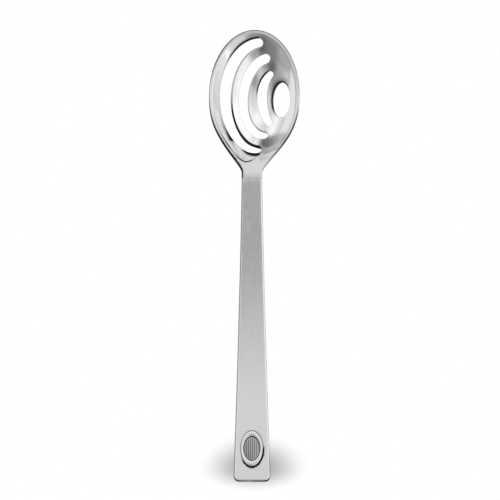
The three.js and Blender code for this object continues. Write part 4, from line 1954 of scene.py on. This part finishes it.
@dataclass
class Studio:
    """The pale floor, the soft light all round and the camera."""

    focal: float = 800.0
    sensor: float = 36.0
    view_width: float = 152.65
    elevation: float = 78.0
    aim: tuple[float, float, float] = (-1.30, 2.06, 2.0)
    base: float = 0.72
    mirrored_floor: float = 0.9
    shadow_middle: tuple[float, float] = (-0.1, -65.4)
    shadow_reach: tuple[float, float] = (17.7, 11.5)
    shadow_ahead: float = 7.7
    shadow_tone: float = 0.40
    shadow_core: float = 0.12
    flat: float = 1000.0
    floor_size: float = 2.0
    floor_drop: float = 0.0001
    camera_end: float = 20.0
    least_light: float = 0.02
    lights: tuple[LightRing, ...] = (
        LightRing(12, 22, {0: -0.16, 90: -0.05, 180: -0.05, 270: 0.05}),
        LightRing(10, 14, {180: -0.34}),
        LightRing(35, 35, {0: 0.18, 60: 0.25, 120: 0.25, 240: -0.10, 300: 0.20}),
        LightRing(60, 33, {0: 0.20, 45: 0.32, 180: -0.40, 225: -0.40, 270: -0.35, 315: -0.18}),
        LightRing(85, 33, {90: 0.80, 315: 0.50}),
    )

    def build(self) -> None:
        """Set up camera, light and floor."""
        self._camera()
        self._world()
        self._floor()
        scene = bpy.context.scene
        scene.view_settings.view_transform = "Standard"

    def _camera(self) -> None:
        """Place the camera near the photo's viewing angle, which is an estimate."""
        data = bpy.data.cameras.new("camera")
        data.lens = self.focal
        data.sensor_width = self.sensor
        data.clip_end = self.camera_end
        camera = bpy.data.objects.new("camera", data)
        angle = math.radians(self.elevation)
        distance = self.view_width * self.focal / self.sensor
        back = Vector((0, -math.cos(angle), math.sin(angle)))
        camera.location = (Vector(self.aim) + back * distance) * MM
        camera.rotation_euler = back.to_track_quat("Z", "Y").to_euler()
        bpy.context.scene.collection.objects.link(camera)
        bpy.context.scene.camera = camera

    def _world(self) -> None:
        """Light the scene from all sides, brighter and darker by direction."""
        world = bpy.data.worlds.new("soft studio")
        world.use_nodes = True
        wiring = Wiring(world.node_tree)
        direction = wiring.node("ShaderNodeTexCoord").outputs["Generated"]
        total = self.base
        for ring in self.lights:
            for azimuth, strength in ring.strengths.items():
                patch = self._patch(wiring, direction, ring, azimuth, strength)
                total = wiring.math("ADD", patch, total)
        total = wiring.math("MAXIMUM", total, self.least_light)
        wiring.feed(world.node_tree.nodes["Background"].inputs["Color"], total)
        bpy.context.scene.world = world

    def _patch(self, wiring: Wiring, direction: Socket, ring: LightRing, azimuth: float,
               strength: float) -> Socket:
        """Add one soft patch of light or shade to the world.

        Args:
            wiring: Adds the nodes.
            direction: The direction looked in.
            ring: The ring that the patch belongs to.
            azimuth: Where on the ring it lies, in degrees.
            strength: Its strength in the middle.

        Returns:
            The patch's share of the light.
        """
        dot = wiring.node("ShaderNodeVectorMath", {0: direction, 1: ring.axis(azimuth)},
                          operation="DOT_PRODUCT")
        edge = math.cos(math.radians(ring.spread))
        return wiring.mapped(dot.outputs["Value"], (edge, 1.0), (0.0, strength), "SMOOTHSTEP")

    def _floor(self) -> None:
        """Lay the plain pale floor, which shines by itself and so catches no shadow."""
        mesh = bmesh.new()
        bmesh.ops.create_grid(mesh, x_segments=1, y_segments=1, size=self.floor_size)
        data = bpy.data.meshes.new("floor")
        mesh.to_mesh(data)
        mesh.free()
        floor = bpy.data.objects.new("floor", data)
        floor.location.z = -self.floor_drop
        bpy.context.scene.collection.objects.link(floor)
        material = bpy.data.materials.new("pale floor")
        material.use_nodes = True
        wiring = Wiring(material.node_tree)
        seen = wiring.node("ShaderNodeEmission", {"Color": self._shadow(wiring)})
        mirrored = wiring.node("ShaderNodeEmission", {"Strength": self.mirrored_floor})
        path = wiring.node("ShaderNodeLightPath")
        either = wiring.node("ShaderNodeMixShader", {
            0: path.outputs["Is Camera Ray"], 1: mirrored.outputs[0], 2: seen.outputs[0]})
        output = material.node_tree.nodes["Material Output"]
        wiring.feed(output.inputs["Surface"], either.outputs[0])
        data.materials.append(material)

    def _shadow(self, wiring: Wiring) -> Socket:
        """Give the floor's tone: white, with a soft shadow round the handle's end.

        Args:
            wiring: Adds the nodes.

        Returns:
            The tone's socket.
        """
        place = wiring.node("ShaderNodeTexCoord").outputs["Object"]
        middle, reach = (*self.shadow_middle, 0), (*self.shadow_reach, self.flat)
        counted = wiring.seen_from(place, middle, reach)
        x, y, _ = wiring.node("ShaderNodeSeparateXYZ", {0: counted}).outputs
        ahead = wiring.math("MULTIPLY", y, -self.shadow_reach[1] / self.shadow_ahead)
        farther = wiring.math("MAXIMUM", y, ahead)
        joined = wiring.node("ShaderNodeCombineXYZ", {"X": x, "Y": farther})
        away = wiring.length(joined.outputs[0])
        return wiring.mapped(away, (self.shadow_core, 1.0), (self.shadow_tone, 1.0), "SMOOTHSTEP")


def main() -> None:
    """Build the spoon and its studio, and report each piece."""
    logging.basicConfig(level=logging.INFO, format="%(message)s")
    line = SpoonLine()
    Studio().build()
    handle = Handle(line)
    for part in (Bowl(line), handle, Medallion(handle)):
        for piece in part.dress():
            log.info("%s is dressed, %d faces", piece.name, len(piece.data.polygons))


if __name__ == "__main__":
    main()
